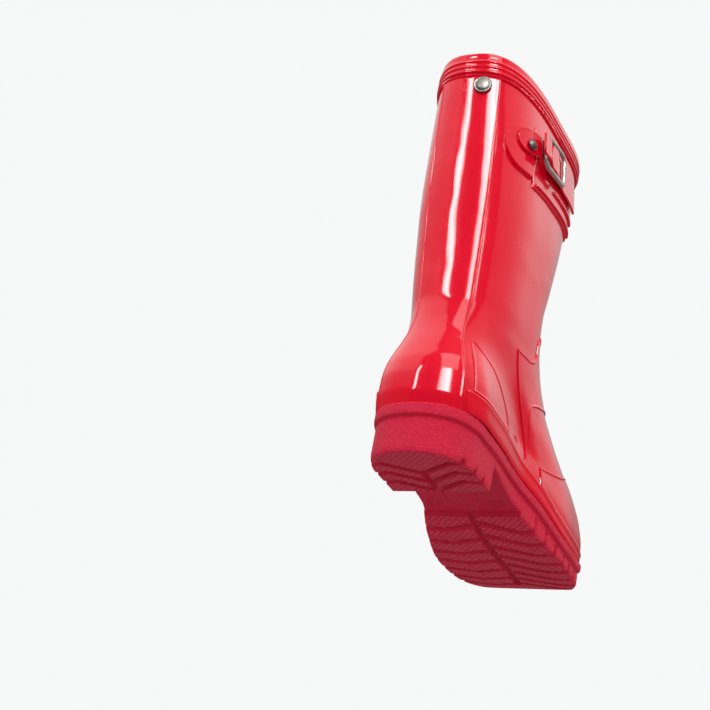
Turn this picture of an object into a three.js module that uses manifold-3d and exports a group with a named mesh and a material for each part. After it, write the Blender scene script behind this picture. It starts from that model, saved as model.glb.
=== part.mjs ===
// Rubber rain boot, right foot.  Millimetres, +Z up, toe towards -Y, outer (buckle) side towards -X.
// The origin is on the ground, under the plain pad at the back of the heel.
import * as THREE from 'three'
import Module from 'manifold-3d'

// ---- driving dimensions ----
const LENGTH = 266.6            // outsole, heel to toe
const BALL_HALF = 47            // half width of the sole flange at the ball of the foot
const HEIGHT = 299              // rim above the ground at the back
const HEEL_PAD = 18             // origin to the back of the heel
const HEEL_LONG = 61.5          // heel block, front to back
const WAIST_END = 117           // where the forefoot tread starts
const WALL = 2.2                // rubber upper
const LINING = 1.5              // knitted lining
const BOARD = 2.0               // insole board
const FOOTBED = 4.2             // loose foam insole
const GAP = 0.3                 // clearance between pieces that lie on each other
const LINING_GAP = 0.6          // lining to rubber, where the leg turns into the foot
const BED_GAP = 1.2             // loose insole to lining, all round
const OVERLAY = 1.1             // moulded overlays (rand, toe cap, counters, stay)
const GROOVE_W = 3.5, GROOVE_D = 3.4, PITCH = 16.4
const STRAP_W = 18, STRAP_T = 1.8
const BAR_D = 3.0               // bar of the buckle
const STRAP_SIDE = 1.0          // strap to the buckle's side bars, each side
const STRAP_NECK = 1.4          // strap narrowed each side where it folds round the bar
const FRAME_R = 4.5             // corners of the buckle, on the bar's centre line
const BEAD_HEEL = 8, BEAD_TOE = 5   // thick edge of the sole, heel and toe
const FRAME_L = 36, FRAME_H = STRAP_W + 2 * (BAR_D + STRAP_SIDE)
const FRAME_OUT = 6.6           // buckle plane off the leg
const FRAME_X = 72.7, FRAME_Z = 246, FRAME_TILT = 5
const RIVET_X = 44, RIVET_Z = 239.8, RIVET_D = 8, RIVET_POST = 3.0, POST_CLEAR = 0.25
const STRAP_END = 12.5          // rivet to the rear end of the strap, along the strap
const TAB_RIM = 8               // tab above and below the strap
const BADGE_D = 12.5
const BADGE_U = 0.157           // badge round from the back, radians
const BADGE_DROP = 1.4           // collar band to the edge of the badge
const COLLAR_V = 12.62          // lower edge of the collar band, in leg stations

// ---- shape of the leg and foot ----
// stations from the flange (0) to the rim (13): back x,z; front x,z; half width; heel half width; foot-to-leg mix; sideways shift
const ST = [
  [ 3.5, 32.3, 260, 27.3, 45.6, 47.0, 0.00, 0],
  [ 0.8, 42.0, 262, 37.0, 45.6, 47.6, 0.00, 0],
  [ 0.5, 52.0, 257, 49.0, 44.0, 46.8, 0.00, 0],
  [ 2.0, 62.0, 241, 60.0, 41.5, 45.2, 0.15, 0],
  [ 6.0, 72.0, 217, 68.5, 39.0, 42.5, 0.40, 0],
  [10.5, 82.0, 192, 79.0, 36.5, 38.5, 0.70, 0],
  [15.0, 92.0, 168, 93.0, 35.0, 35.4, 0.90, 0],
  [19.0, 104, 149, 110, 34.5, 34.5, 1.00, 0],
  [21.5, 118, 137, 129, 35.5, 35.5, 1.00, -0.5],
  [21.5, 138, 135, 150, 36.8, 36.8, 1.00, -1.5],
  [20.5, 165, 141, 175, 38.5, 38.5, 1.00, -2.5],
  [19.0, 200, 151, 208, 39.8, 39.8, 1.00, -4.0],
  [17.5, 250, 168, 255, 39.0, 39.0, 1.00, -6.0],
  [16.0, 299, 184, 304.5, 36.8, 36.8, 1.00, -8.0]]
const K = ST.length - 1
const SX = LENGTH / 266.6, SY = BALL_HALF / 47, SZ = HEIGHT / 299
const PHI = [0, 0.25, 0.5, 0.726, 1.0, 1.33, 1.6, 1.94, 2.25, 2.55, 2.85, Math.PI]
const HALF = [0, 18.5, 30.5, 34.6, 34.6, 33.2, 40.0, 46.3, 44.3, 36.3, 20.5, 0]

// monotone cubic through a table
function curve(xs, ys) {
  const n = xs.length, d = [], m = new Array(n).fill(0)
  for (let i = 0; i < n - 1; i++) d.push((ys[i + 1] - ys[i]) / (xs[i + 1] - xs[i]))
  for (let i = 1; i < n - 1; i++) {
    if (d[i - 1] * d[i] <= 0) continue
    const h0 = xs[i] - xs[i - 1], h1 = xs[i + 1] - xs[i], w1 = 2 * h1 + h0, w2 = h1 + 2 * h0
    m[i] = (w1 + w2) / (w1 / d[i - 1] + w2 / d[i])
  }
  m[0] = d[0]; m[n - 1] = d[n - 2]
  return (x) => {
    const q = Math.min(Math.max(x, xs[0]), xs[n - 1])
    let i = 0
    while (i < n - 2 && q > xs[i + 1]) i++
    const h = xs[i + 1] - xs[i], t = (q - xs[i]) / h, t2 = t * t, t3 = t2 * t
    return (2 * t3 - 3 * t2 + 1) * ys[i] + (t3 - 2 * t2 + t) * h * m[i] +
      (3 * t2 - 2 * t3) * ys[i + 1] + (t3 - t2) * h * m[i + 1]
  }
}
const IDX = ST.map((_, i) => i)
const col = ST[0].map((_, j) => curve(IDX, ST.map((r) => r[j])))
const half = curve(PHI, HALF)
const middle = curve([0, 0.2, 0.38, 0.55, 0.68, 0.82, 0.93, 1], [0, 1, 0.9, 0.3, -0.7, -1.7, -2.6, -5])
const sag = curve([0, 0.37, 0.527, 0.68, 0.818, 0.934, 1], [0, 0, 6.4, 13.9, 12.2, 4.7, 0])
const clamp = (x, a, b) => Math.min(Math.max(x, a), b)

// the outer skin, in heel-based coordinates: x forward, y outward (outer side +), z up
function skin(v, phi, side) {
  const [xb, zb, xf, zf, w, wh, mix, cy] = col.map((f) => f(v))
  const s = (1 - Math.cos(phi)) / 2, c = Math.cos(phi), e = 2 / 2.7
  const ww = wh + (w - wh) * clamp((s - 0.12) / 0.3, 0, 1)
  const xF = xb + (xf - xb) * s, yF = middle(s) * (1 - mix) + side * half(phi) * ww / 47
  const xL = xb + (xf - xb) * (1 - Math.sign(c) * Math.abs(c) ** e) / 2
  const yL = side * w * Math.abs(Math.sin(phi)) ** e
  const x = xF * (1 - mix) + xL * mix, y = yF * (1 - mix) + yL * mix + cy
  const t = (x - xb) / (xf - xb)
  let z = zb + (zf - zb) * t - sag(clamp(t, 0, 1)) * clamp(1 - v / 5, 0, 1)
  z -= 7.3 * Math.sin(Math.PI * t) * clamp((v - K + 1.5) / 1.5, 0, 1)
  return new THREE.Vector3(x * SX, y * SY, z * SZ)
}
// u runs once round: 0 back, 0..pi outer side, pi toe
const around = (v, u) => {
  const w = ((u % (2 * Math.PI)) + 2 * Math.PI) % (2 * Math.PI)
  return w <= Math.PI ? skin(v, w, 1) : skin(v, 2 * Math.PI - w, -1)
}
function off(v, u, d) {
  const p = around(v, u)
  if (!d) return p
  const h = 0.06, v0 = Math.max(v - h, 0), v1 = Math.min(v + h, K)
  const n = around(v1, u).sub(around(v0, u)).cross(around(v, u + h).sub(around(v, u - h)))
  return p.addScaledVector(n.normalize(), d)
}
// leg station and angle under a point (x, z) seen from the outer side
function under(x, z) {
  let v = 11, u = 1
  for (let k = 0; k < 40; k++) {
    const f = (q) => around(v, q).x - x
    let a = 0.05, b = Math.PI - 0.05
    for (let j = 0; j < 30; j++) { const m = (a + b) / 2; if (f(m) < 0) a = m; else b = m }
    u = (a + b) / 2
    const e = z - around(v, u).z
    v = clamp(v + e / 47, 6.5, K)
    if (Math.abs(e) < 1e-4) break
  }
  return [v, u]
}
const at = (x, z, d) => off(...under(x, z), d)

// ---- solids from point grids ----
const wasm = await Module(); wasm.setup()
const { Manifold, Mesh } = wasm
const place = (p) => [-p.y, HEEL_PAD - p.x, p.z]
class Shell {
  constructor() { this.v = []; this.t = [] }
  add(p) { this.v.push(...place(p)); return this.v.length / 3 - 1 }
  tri(a, b, c) { if (a !== b && b !== c && a !== c) this.t.push(a, b, c) }
  quad(a, b, c, d) { this.tri(a, b, c); this.tri(a, c, d) }
  solid() {
    const m = new Manifold(new Mesh({ numProp: 3, vertProperties: new Float32Array(this.v), triVerts: new Uint32Array(this.t) }))
    return m.volume() < 0 ? flip(this) : m
  }
}
function flip(s) {
  const t = []
  for (let i = 0; i < s.t.length; i += 3) t.push(s.t[i], s.t[i + 2], s.t[i + 1])
  return new Manifold(new Mesh({ numProp: 3, vertProperties: new Float32Array(s.v), triVerts: new Uint32Array(t) }))
}
const NU = 36
// rings of points joined upwards, then capped or joined to a second stack
function ringRow(s, f) {
  const r = []
  for (let i = 0; i < NU; i++) r.push(s.add(f(2 * Math.PI * i / NU)))
  return r
}
function join(s, a, b) { for (let i = 0; i < NU; i++) { const j = (i + 1) % NU; s.quad(a[i], a[j], b[j], b[i]) } }
// floor across a ring: points at the same angle left and right are joined straight across
function floor(s, ring, pts, up) {
  const M = 3, H = NU / 2
  let prev = new Array(M + 1).fill(ring[0])
  for (let k = 1; k <= H; k++) {
    const a = ring[k], b = ring[(NU - k) % NU], row = [a]
    for (let m = 1; m < M; m++) row.push(k === H ? a : s.add(pts(k, m / M)))
    row.push(b)
    for (let m = 0; m < M; m++) {
      if (up) s.quad(prev[m], prev[m + 1], row[m + 1], row[m]); else s.quad(prev[m], row[m], row[m + 1], prev[m + 1])
    }
    prev = row
  }
}
const across = (f) => (k, m) => {
  const a = f(2 * Math.PI * k / NU), b = f(2 * Math.PI * (NU - k) / NU)
  return a.clone().lerp(b, m)
}
const LEVELS = [0, 0.7, 1.5, 2.3, 3, 3.8, 4.6, 5.4, 6.1, 6.7, 7.2, 7.7, 8.3, 9.2, 10.4, 11.5, 12.3, 13]
const levels = (v0, v1) => [v0, ...LEVELS.filter((v) => v > v0 + 0.15 && v < v1 - 0.05), v1]
// open-topped sock between two offsets of the skin; the floor levels are stations vo and vi
function sock(dOut, vOut, dIn, vIn, top) {
  const s = new Shell()
  const stack = (d, v0) => levels(v0, top).map((v) => ringRow(s, (u) => off(v, u, d)))
  const out = stack(dOut, vOut), inn = stack(dIn, vIn)
  for (let i = 1; i < out.length; i++) join(s, out[i - 1], out[i])
  for (let i = 1; i < inn.length; i++) join(s, inn[i], inn[i - 1])
  join(s, out[out.length - 1], inn[inn.length - 1])
  floor(s, out[0], across((u) => off(vOut, u, dOut)), true)
  floor(s, inn[0], across((u) => off(vIn, u, dIn)), false)
  return s.solid()
}
// everything inside an offset of the skin, closed at the top above the rim
function filled(d, v0 = 0, top = K) {
  const s = new Shell()
  const out = levels(v0, top).map((v) => ringRow(s, (u) => off(v, u, d)))
  if (top === K) out.push(ringRow(s, (u) => off(K, u, d).add(new THREE.Vector3(0, 0, 12))))
  for (let i = 1; i < out.length; i++) join(s, out[i - 1], out[i])
  floor(s, out[0], across((u) => off(v0, u, d)), true)
  const last = top === K ? (u) => off(K, u, d).add(new THREE.Vector3(0, 0, 12)) : (u) => off(top, u, d)
  floor(s, out[out.length - 1], across(last), false)
  return s.solid()
}
// flat-across slab between two stations
function slab(d, v0, v1) {
  const s = new Shell()
  const a = ringRow(s, (u) => off(v0, u, d)), b = ringRow(s, (u) => off(v1, u, d))
  join(s, a, b)
  floor(s, a, across((u) => off(v0, u, d)), true)
  floor(s, b, across((u) => off(v1, u, d)), false)
  return s.solid()
}
// patch: f(i, j, side) -> point, i and j in 0..1, side 0 inner face, 1 outer face
function patch(ni, nj, f) {
  const s = new Shell(), id = [0, 1].map((k) => {
    const rows = []
    for (let i = 0; i <= ni; i++) { const r = []; for (let j = 0; j <= nj; j++) r.push(s.add(f(i / ni, j / nj, k))); rows.push(r) }
    return rows
  })
  for (let i = 0; i < ni; i++) for (let j = 0; j < nj; j++) {
    s.quad(id[0][i][j], id[0][i + 1][j], id[0][i + 1][j + 1], id[0][i][j + 1])
    s.quad(id[1][i][j], id[1][i][j + 1], id[1][i + 1][j + 1], id[1][i + 1][j])
  }
  for (let i = 0; i < ni; i++) {
    s.quad(id[0][i][0], id[1][i][0], id[1][i + 1][0], id[0][i + 1][0])
    s.quad(id[0][i][nj], id[0][i + 1][nj], id[1][i + 1][nj], id[1][i][nj])
  }
  for (let j = 0; j < nj; j++) {
    s.quad(id[0][0][j], id[0][0][j + 1], id[1][0][j + 1], id[1][0][j])
    s.quad(id[0][ni][j], id[1][ni][j], id[1][ni][j + 1], id[0][ni][j + 1])
  }
  return s.solid()
}
// a closed band round the whole skin between stations lo(u) and hi(u)
function band(lo, hi, dIn, dOut, rows = 2) {
  const s = new Shell(), wall = (d) => {
    const r = []
    for (let k = 0; k <= rows; k++) r.push(ringRow(s, (u) => off(lo(u) + (hi(u) - lo(u)) * k / rows, u, d)))
    return r
  }
  const o = wall(dOut), n = wall(dIn)
  for (let k = 1; k <= rows; k++) { join(s, o[k - 1], o[k]); join(s, n[k], n[k - 1]) }
  join(s, o[rows], n[rows]); join(s, n[0], o[0])
  return s.solid()
}
const body = filled(GAP)                              // keeps overlays off the upper
let keepOff = null                                    // and off the sole, once that is built
const onBody = (m) => m.subtract(body).subtract(keepOff)

function prism(pts, z0, z1, mapZ = (p, z) => z) {     // plan polygon (x, y heel-based), vertical sides
  const plan = pts.map(([x, y]) => new THREE.Vector2(x, y))
  if (THREE.ShapeUtils.area(plan) < 0) { plan.reverse(); pts = pts.slice().reverse() }
  const side = (i, j, k) => (plan[j].x - plan[i].x) * (plan[k].y - plan[i].y) - (plan[j].y - plan[i].y) * (plan[k].x - plan[i].x)
  const tri = THREE.ShapeUtils.triangulateShape(plan, []).map(([i, j, k]) => (side(i, j, k) < 0 ? [i, k, j] : [i, j, k]))
  const s = new Shell(), n = pts.length
  const a = pts.map(([x, y]) => s.add(new THREE.Vector3(x, y, mapZ([x, y], z0))))
  const b = pts.map(([x, y]) => s.add(new THREE.Vector3(x, y, mapZ([x, y], z1))))
  for (const [i, j, k] of tri) { s.tri(a[i], a[k], a[j]); s.tri(b[i], b[j], b[k]) }
  for (let i = 0; i < n; i++) { const j = (i + 1) % n; s.quad(a[i], a[j], b[j], b[i]) }
  return s.solid()
}

// ---- outsole ----
const flangeTop = (x) => {
  const t = clamp((x / SX - 3.5) / 256.5, 0, 1)
  return (32.3 - 5 * t - sag(t)) * SZ
}
const bottomZ = curve([0, 90, 117, 130, 150, 165, 185, 205, 225, 245, 260, 267],
  [0, 9.4, 7.2, 4.2, 1.2, 0.2, 0, 0.5, 2.4, 6, 10.6, 13])
const groundZ = (x) => (x / SX < 88 ? 0 : bottomZ(x / SX)) * SZ
const bead = (x) => BEAD_HEEL + (BEAD_TOE - BEAD_HEEL) * clamp(x / LENGTH, 0, 1)
function rim2(u, inset) {                             // plan outline of the sole
  const f = (q) => {
    const w = ((q % (2 * Math.PI)) + 2 * Math.PI) % (2 * Math.PI), side = w <= Math.PI ? 1 : -1
    const p = w <= Math.PI ? w : 2 * Math.PI - w, s = (1 - Math.cos(p)) / 2
    return new THREE.Vector2(LENGTH * s, (middle(s) + side * half(p)) * SY)
  }
  const h = 0.04, p = f(u), t = f(u + h).sub(f(u - h)).normalize()
  return new THREE.Vector2(p.x + t.y * inset * -1, p.y + t.x * inset).lerp(p, 0)
}
function inward(u, inset) {                           // inset towards the inside on both sides
  const p = rim2(u, 0), q = rim2(u, inset), c = new THREE.Vector2(LENGTH * 0.5, 0)
  if (q.distanceTo(c) > p.distanceTo(c)) q.copy(p.multiplyScalar(2).sub(q))
  return q
}
function soleBody(raise = 0) {
  const s = new Shell()
  const ring = (inset, zf) => ringRow(s, (u) => { const p = inward(u, inset); return new THREE.Vector3(p.x, p.y, zf(p.x) + raise) })
  const wall = (k) => (x) => { const b = groundZ(x), t = flangeTop(x); return b + (t - bead(x) - 2.3 - b) * k }
  const rings = [ring(3.0, groundZ), ring(2.0, (x) => groundZ(x) + 1), ring(1.6, wall(0.5)), ring(1.9, (x) => flangeTop(x) - bead(x) - 2),
    ring(2.1, (x) => flangeTop(x) - bead(x) - 1), ring(0, (x) => flangeTop(x) - bead(x)), ring(0, (x) => flangeTop(x) - 0.9), ring(0.9, flangeTop)]
  for (let i = 1; i < rings.length; i++) join(s, rings[i - 1], rings[i])
  const cap = (inset, zf) => (k, m) => {
    const a = inward(2 * Math.PI * k / NU, inset), b = inward(2 * Math.PI * (NU - k) / NU, inset)
    return new THREE.Vector3(a.x + (b.x - a.x) * m, a.y + (b.y - a.y) * m, zf(a.x + (b.x - a.x) * m) + raise)
  }
  floor(s, rings[0], cap(3.0, groundZ), true)
  floor(s, rings[rings.length - 1], cap(0.9, flangeTop), false)
  return s.solid()
}
// straight or bent groove as a strip of width w through plan points
function stripPrism(pts, w, z0, z1, follow) {
  const n = pts.length, L = [], R = []
  for (let i = 0; i < n; i++) {
    const a = new THREE.Vector2(...pts[Math.max(i - 1, 0)]), b = new THREE.Vector2(...pts[Math.min(i + 1, n - 1)])
    const d = b.sub(a).normalize(), half2 = w / 2
    L.push([pts[i][0] - d.y * half2, pts[i][1] + d.x * half2]); R.push([pts[i][0] + d.y * half2, pts[i][1] - d.x * half2])
  }
  return prism([...L, ...R.reverse()], z0, z1, follow)
}
function outsole() {
  let m = soleBody()
  // arch between heel and forefoot: floor rises towards the heel
  const w0 = HEEL_LONG * SX, w1 = WAIST_END * SX
  const arch = (p, z) => (z < 0 ? -5 : (17 - 7.2 * clamp((p[0] - w0) / (w1 - w0), 0, 1)) * SZ)
  m = m.subtract(prism([[w0, -60], [(w0 + w1) / 2, -60], [w1, -60], [w1, 60], [(w0 + w1) / 2, 60], [w0, 60]], -1, 1, arch))
  const follow = (p, z) => (z < 0 ? -6 : groundZ(clamp(p[0], w1, LENGTH)) + GROOVE_D)
  const cut = []
  for (let k = 0; k < 7; k++) {                       // inner side of the foot
    const x = (127.5 + PITCH * k) * SX
    cut.push(stripPrism([[x, 0], [x + 5.5, -22 * SY], [x + 5.5 - 4 - 1.6 * k, -54 * SY]], GROOVE_W, -1, 1, follow))
  }
  for (let k = 0; k < 8; k++) {                       // outer side of the foot
    const x = (123.5 + 14.3 * k * PITCH / 16.4) * SX
    cut.push(stripPrism([[x, 0], [x + 12 + 0.9 * k, 29 * SY], [x + 12.5 + 0.9 * k, 54 * SY]], GROOVE_W, -1, 1, follow))
  }
  cut.push(stripPrism([[112 * SX, 0], [160 * SX, 1.5], [200 * SX, 1], [229 * SX, -3]], 4.2, -1, 1, follow))
  for (let k = 0; k < 3; k++) {                       // heel chevrons
    const x = (34 + 13.2 * k) * SX
    for (const sd of [1, -1]) cut.push(stripPrism([[x, sd * 0.01], [x - 14, sd * 22 * SY], [x - 9, sd * 44 * SY]], GROOVE_W, -1, 1, (p, z) => (z < 0 ? -6 : GROOVE_D)))
  }
  cut.push(stripPrism([[34 * SX, 0], [(HEEL_LONG + 6) * SX, 0]], 4.2, -1, 1, (p, z) => (z < 0 ? -6 : GROOVE_D)))
  for (const sd of [1, -1]) {                         // notches in the heel breast
    const a = HEEL_LONG * SX
    cut.push(prism([[a - 5, sd * 13], [a + 4, sd * 13], [a + 4, sd * 20], [a - 5, sd * 20]], 5, 11))
  }
  return cut.reduce((q, c) => q.subtract(c), m)
}

// ---- round metal fasteners standing on the skin ----
function fastener(v, u, lift, d, h, post, inner) {
  const p = off(v, u, 0), n = off(v, u, 1).sub(p).normalize()
  const P = new THREE.Vector3(...place(p)), N = new THREE.Vector3(...place(p.clone().add(n))).sub(P).normalize()
  const turn = new THREE.Matrix4().makeRotationFromQuaternion(new THREE.Quaternion().setFromUnitVectors(new THREE.Vector3(0, 1, 0), N))
  const put = (profile, seg) => {
    const g = new THREE.LatheGeometry(profile.map(([r, y]) => new THREE.Vector2(r, y)), seg)
    g.applyMatrix4(turn); g.translate(P.x, P.y, P.z)
    return solidOf(g)
  }
  const cap = put([[0, lift], [d / 2, lift], [d / 2, lift + h * 0.4], [d * 0.4, lift + h * 0.85], [0, lift + h]], 24)
  const r = post / 2, base = put([[0, inner - 1.0], [post * 1.35, inner - 1.0], [post * 1.35, inner], [r, inner], [r, lift - GAP], [0, lift - GAP]], 16)
  const bore = put([[0, inner - 3], [r + POST_CLEAR, inner - 3], [r + POST_CLEAR, lift + 3], [0, lift + 3]], 16)
  return { cap, base, bore }
}
function solidOf(g) {
  const p = g.attributes.position, key = new Map(), v = [], map = []
  for (let i = 0; i < p.count; i++) {
    const k = [p.getX(i), p.getY(i), p.getZ(i)].map((q) => q.toFixed(4)).join()
    if (!key.has(k)) { key.set(k, v.length / 3); v.push(p.getX(i), p.getY(i), p.getZ(i)) }
    map.push(key.get(k))
  }
  const t = [], ix = g.index ? g.index.array : map.map((_, i) => i)
  for (let i = 0; i < ix.length; i += 3) {
    const a = map[ix[i]], b = map[ix[i + 1]], c = map[ix[i + 2]]
    if (a !== b && b !== c && a !== c) t.push(a, b, c)
  }
  const mk = (q) => new Manifold(new Mesh({ numProp: 3, vertProperties: new Float32Array(v), triVerts: new Uint32Array(q) }))
  const m = mk(t)
  if (m.volume() > 0) return m
  const f = []
  for (let i = 0; i < t.length; i += 3) f.push(t[i], t[i + 2], t[i + 1])
  return mk(f)
}

// ---- buckle: a frame of round bar standing off the leg ----
const tilt = FRAME_TILT * Math.PI / 180
const [fv, fu] = under(FRAME_X * SX, FRAME_Z * SZ)
const fC = off(fv, fu, FRAME_OUT), fN = off(fv, fu, 1).sub(off(fv, fu, 0)).normalize()
const fA = new THREE.Vector3(Math.cos(tilt), 0, Math.sin(tilt))
fA.addScaledVector(fN, -fA.dot(fN)).normalize()
const fB = fN.clone().cross(fA).normalize(); if (fB.z < 0) fB.negate()
const inFrame = (a, b, n = 0) => fC.clone().addScaledVector(fA, a).addScaledVector(fB, b).addScaledVector(fN, n)
function frame() {
  const pts = [], r = FRAME_R, a = FRAME_L / 2 - BAR_D / 2, b = FRAME_H / 2 - BAR_D / 2
  for (const [sx, sy, t0] of [[1, 1, 0], [-1, 1, 90], [-1, -1, 180], [1, -1, 270]]) for (let k = 0; k <= 3; k++) {
    const t = (t0 + 30 * k) * Math.PI / 180
    pts.push([sx * (a - r) + r * Math.cos(t), sy * (b - r) + r * Math.sin(t)])
  }
  const s = new Shell(), SEG = 8, n = pts.length, rows = []
  for (let i = 0; i < n; i++) {
    const p = pts[i], q0 = pts[(i + n - 1) % n], q1 = pts[(i + 1) % n]
    const tx = q1[0] - q0[0], ty = q1[1] - q0[1], l = Math.hypot(tx, ty), row = []
    for (let k = 0; k < SEG; k++) {
      const t = 2 * Math.PI * (k + 0.5) / SEG, o = Math.cos(t) * BAR_D / 2, h = Math.sin(t) * BAR_D / 2
      row.push(s.add(inFrame(p[0] + ty / l * o, p[1] - tx / l * o, h)))
    }
    rows.push(row)
  }
  for (let i = 0; i < n; i++) for (let k = 0; k < SEG; k++) {
    const a1 = rows[i], b1 = rows[(i + 1) % n], k1 = (k + 1) % SEG
    s.quad(a1[k], a1[k1], b1[k1], b1[k])
  }
  return s.solid()
}
// strap as a ribbon: centre points (along frame axis a, height n above the frame plane), half width w
function ribbon(path, w) {
  const s = new Shell(), n = path.length, rows = []
  for (let i = 0; i < n; i++) {
    const [a, h] = path[i], p = path[Math.max(i - 1, 0)], q = path[Math.min(i + 1, n - 1)]
    const tx = q[0] - p[0], ty = q[1] - p[1], l = Math.hypot(tx, ty), nx = -ty / l * STRAP_T / 2, ny = tx / l * STRAP_T / 2
    const ww = path[i][2] === undefined ? w : path[i][2]
    rows.push([[a + nx, -ww, h + ny], [a + nx, ww, h + ny], [a - nx, ww, h - ny], [a - nx, -ww, h - ny]].map((c) => s.add(inFrame(...c))))
  }
  for (let i = 1; i < n; i++) for (let k = 0; k < 4; k++) s.quad(rows[i - 1][k], rows[i - 1][(k + 1) % 4], rows[i][(k + 1) % 4], rows[i][k])
  s.quad(...rows[0].slice().reverse()); s.quad(...rows[n - 1])
  return s.solid()
}

// ---- assembly ----
const RED = '#d1122f', SOLE = '#b81d33', KNIT = '#55575c', CARD = '#b9a07c', FOAM = '#3b3d42', STEEL = '#b3b1ac'
const gloss = (c) => new THREE.MeshStandardMaterial({ color: c, roughness: 0.18, metalness: 0 })
const matt = (c, r) => new THREE.MeshStandardMaterial({ color: c, roughness: r, metalness: 0 })
const metal = new THREE.MeshStandardMaterial({ color: STEEL, roughness: 0.35, metalness: 1 })
const group = new THREE.Group(); group.name = 'rubber_rain_boot'
function keep(name, m, mat) {
  const q = m.getMesh(), g = new THREE.BufferGeometry(), p = []
  for (let i = 0; i < q.numVert; i++) for (let k = 0; k < 3; k++) p.push(q.vertProperties[i * q.numProp + k])
  g.setAttribute('position', new THREE.Float32BufferAttribute(p, 3)); g.setIndex(Array.from(q.triVerts))
  g.computeVertexNormals()
  const mesh = new THREE.Mesh(g, mat); mesh.name = name; group.add(mesh)
}

const HALF_TURN = Math.PI
const rivet = fastener(...under(RIVET_X * SX, RIVET_Z * SZ), OVERLAY * 2 + GAP * 4 + STRAP_T, RIVET_D, 2.2, RIVET_POST, -(WALL + LINING_GAP + LINING + 2 * GAP))
const backV = (z) => { let a = 6, b = K; for (let i = 0; i < 40; i++) { const m = (a + b) / 2; if (around(m, BADGE_U).z < z) a = m; else b = m } return (a + b) / 2 }
const badge = fastener(backV(skin(COLLAR_V, BADGE_U, 1).z - BADGE_DROP - BADGE_D / 2), BADGE_U, OVERLAY + GAP * 2, BADGE_D, 2.6, RIVET_POST, -(WALL + LINING_GAP + LINING + 3 * GAP))

keepOff = soleBody(GAP)
const lift = (mm) => mm / (10 * SZ)                          // stations near the floor are 10 mm apart
const vShell = lift(GAP), vBoard = vShell + lift(WALL + GAP), vLine = vBoard + lift(BOARD + GAP), vBed = vLine + lift(LINING + GAP)
keep('outsole', outsole(), matt(SOLE, 0.65))
keep('upper_shell', sock(0, vShell, -WALL, vShell + lift(WALL), K).subtract(keepOff).subtract(rivet.bore).subtract(badge.bore), gloss(RED))
keep('insole_board', slab(-WALL - 2 * GAP, vBoard, vBoard + lift(BOARD)), matt(CARD, 0.9))
keep('lining', sock(-WALL - LINING_GAP, vLine, -WALL - LINING_GAP - LINING, vLine + lift(LINING), K - 0.03).subtract(rivet.bore).subtract(badge.bore), matt(KNIT, 0.95))
keep('footbed', slab(-WALL - LINING_GAP - LINING - BED_GAP, vBed, vBed + lift(FOOTBED)), matt(FOAM, 0.9))

// rand round the foot from one edge of the back stay to the other: tall at the heel, low at the toe cap
const u01 = (u) => { const w = ((u % (2 * Math.PI)) + 2 * Math.PI) % (2 * Math.PI); return w <= Math.PI ? w : 2 * Math.PI - w }
const randTop = curve([0, 0.7, 1.1, 1.36, 1.55, 1.71, 1.83, 2.2, Math.PI], [1.47, 1.36, 1.32, 1.14, 1.0, 0.72, 0.62, 0.6, 0.6])
const stayHalf = (v) => 0.40 + 0.05 * clamp(v / 13, 0, 1)
const EDGE = 0.05                                     // stations left free between neighbouring overlays
const stayRoom = patch(3, 6, (i, j, k) => off(2.2 * i, (stayHalf(2.2 * i) + EDGE * 0.6) * (2 * j - 1), k ? OVERLAY + 8 : -4))
keep('rand', onBody(band(() => vShell, (u) => randTop(u01(u)), -1.2, OVERLAY + GAP, 2)).subtract(stayRoom), gloss(RED))
// toe cap: from the rand up over the toe, rear edge across the vamp
const capTop = curve([1.56, 1.9, 2.2, 2.6, Math.PI], [2.0, 3.0, 3.7, 4.3, 4.6])
keep('toe_cap', onBody(patch(22, 5, (i, j, k) => {
  const u = 1.57 + (2 * HALF_TURN - 3.14) * i, lo = randTop(u01(u)) + 2 * EDGE, hi = Math.max(capTop(u01(u)), lo + 0.35)
  return off(lo + (hi - lo) * j, u, k ? OVERLAY + GAP : -1.2)
})), gloss(RED))
// heel counter: wraps the heel behind the two arcs, cut by the back stay
const counterTop = curve([0, 0.5, 0.72, 0.92, 1.06, 1.12], [5.6, 5.4, 4.8, 4.3, 3.1, 1.9])
for (const [name, sd] of [['heel_counter_outer', 1], ['heel_counter_inner', -1]]) {
  keep(name, onBody(patch(8, 6, (i, j, k) => {
    const a = stayHalf(2) + 0.10, u = a + (1.12 - a) * i, lo = randTop(u) + EDGE, hi = Math.max(counterTop(u), lo + 0.3)
    const v = lo + (hi - lo) * j, uu = Math.max(u, stayHalf(v) + 0.06)
    return off(v, sd * uu, k ? OVERLAY + GAP : -1.2)
  })), gloss(RED))
}
// back stay: one strip from the sole to the collar
keep('back_stay', onBody(patch(16, 4, (i, j, k) => {
  const v0 = vShell, v = v0 + (COLLAR_V - EDGE - v0) * i
  return off(v, stayHalf(v) * (2 * j - 1), k ? OVERLAY + GAP : -1.4)
})).subtract(badge.bore), gloss(RED))
// ankle saddle: over the instep, edges run down to the rand on both sides
const saddleLo = curve([1.42, 1.6, 1.85, 2.2, Math.PI], [1.35, 4.9, 5.5, 5.9, 6.1])
const saddleHi = curve([1.1, 1.42, 1.62, 1.84, 1.98, 2.3, Math.PI], [6.78, 6.82, 6.95, 7.46, 8.3, 8.3, 8.3])
keep('ankle_saddle', onBody(patch(20, 5, (i, j, k) => {
  const u = 1.42 + (2 * HALF_TURN - 2.84) * i, q = u01(u), lo = Math.max(saddleLo(q), randTop(q) + EDGE), hi = saddleHi(q)
  return off(lo + (hi - lo) * j, u, k ? OVERLAY + GAP : -1.4)
})), gloss(RED))
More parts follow.
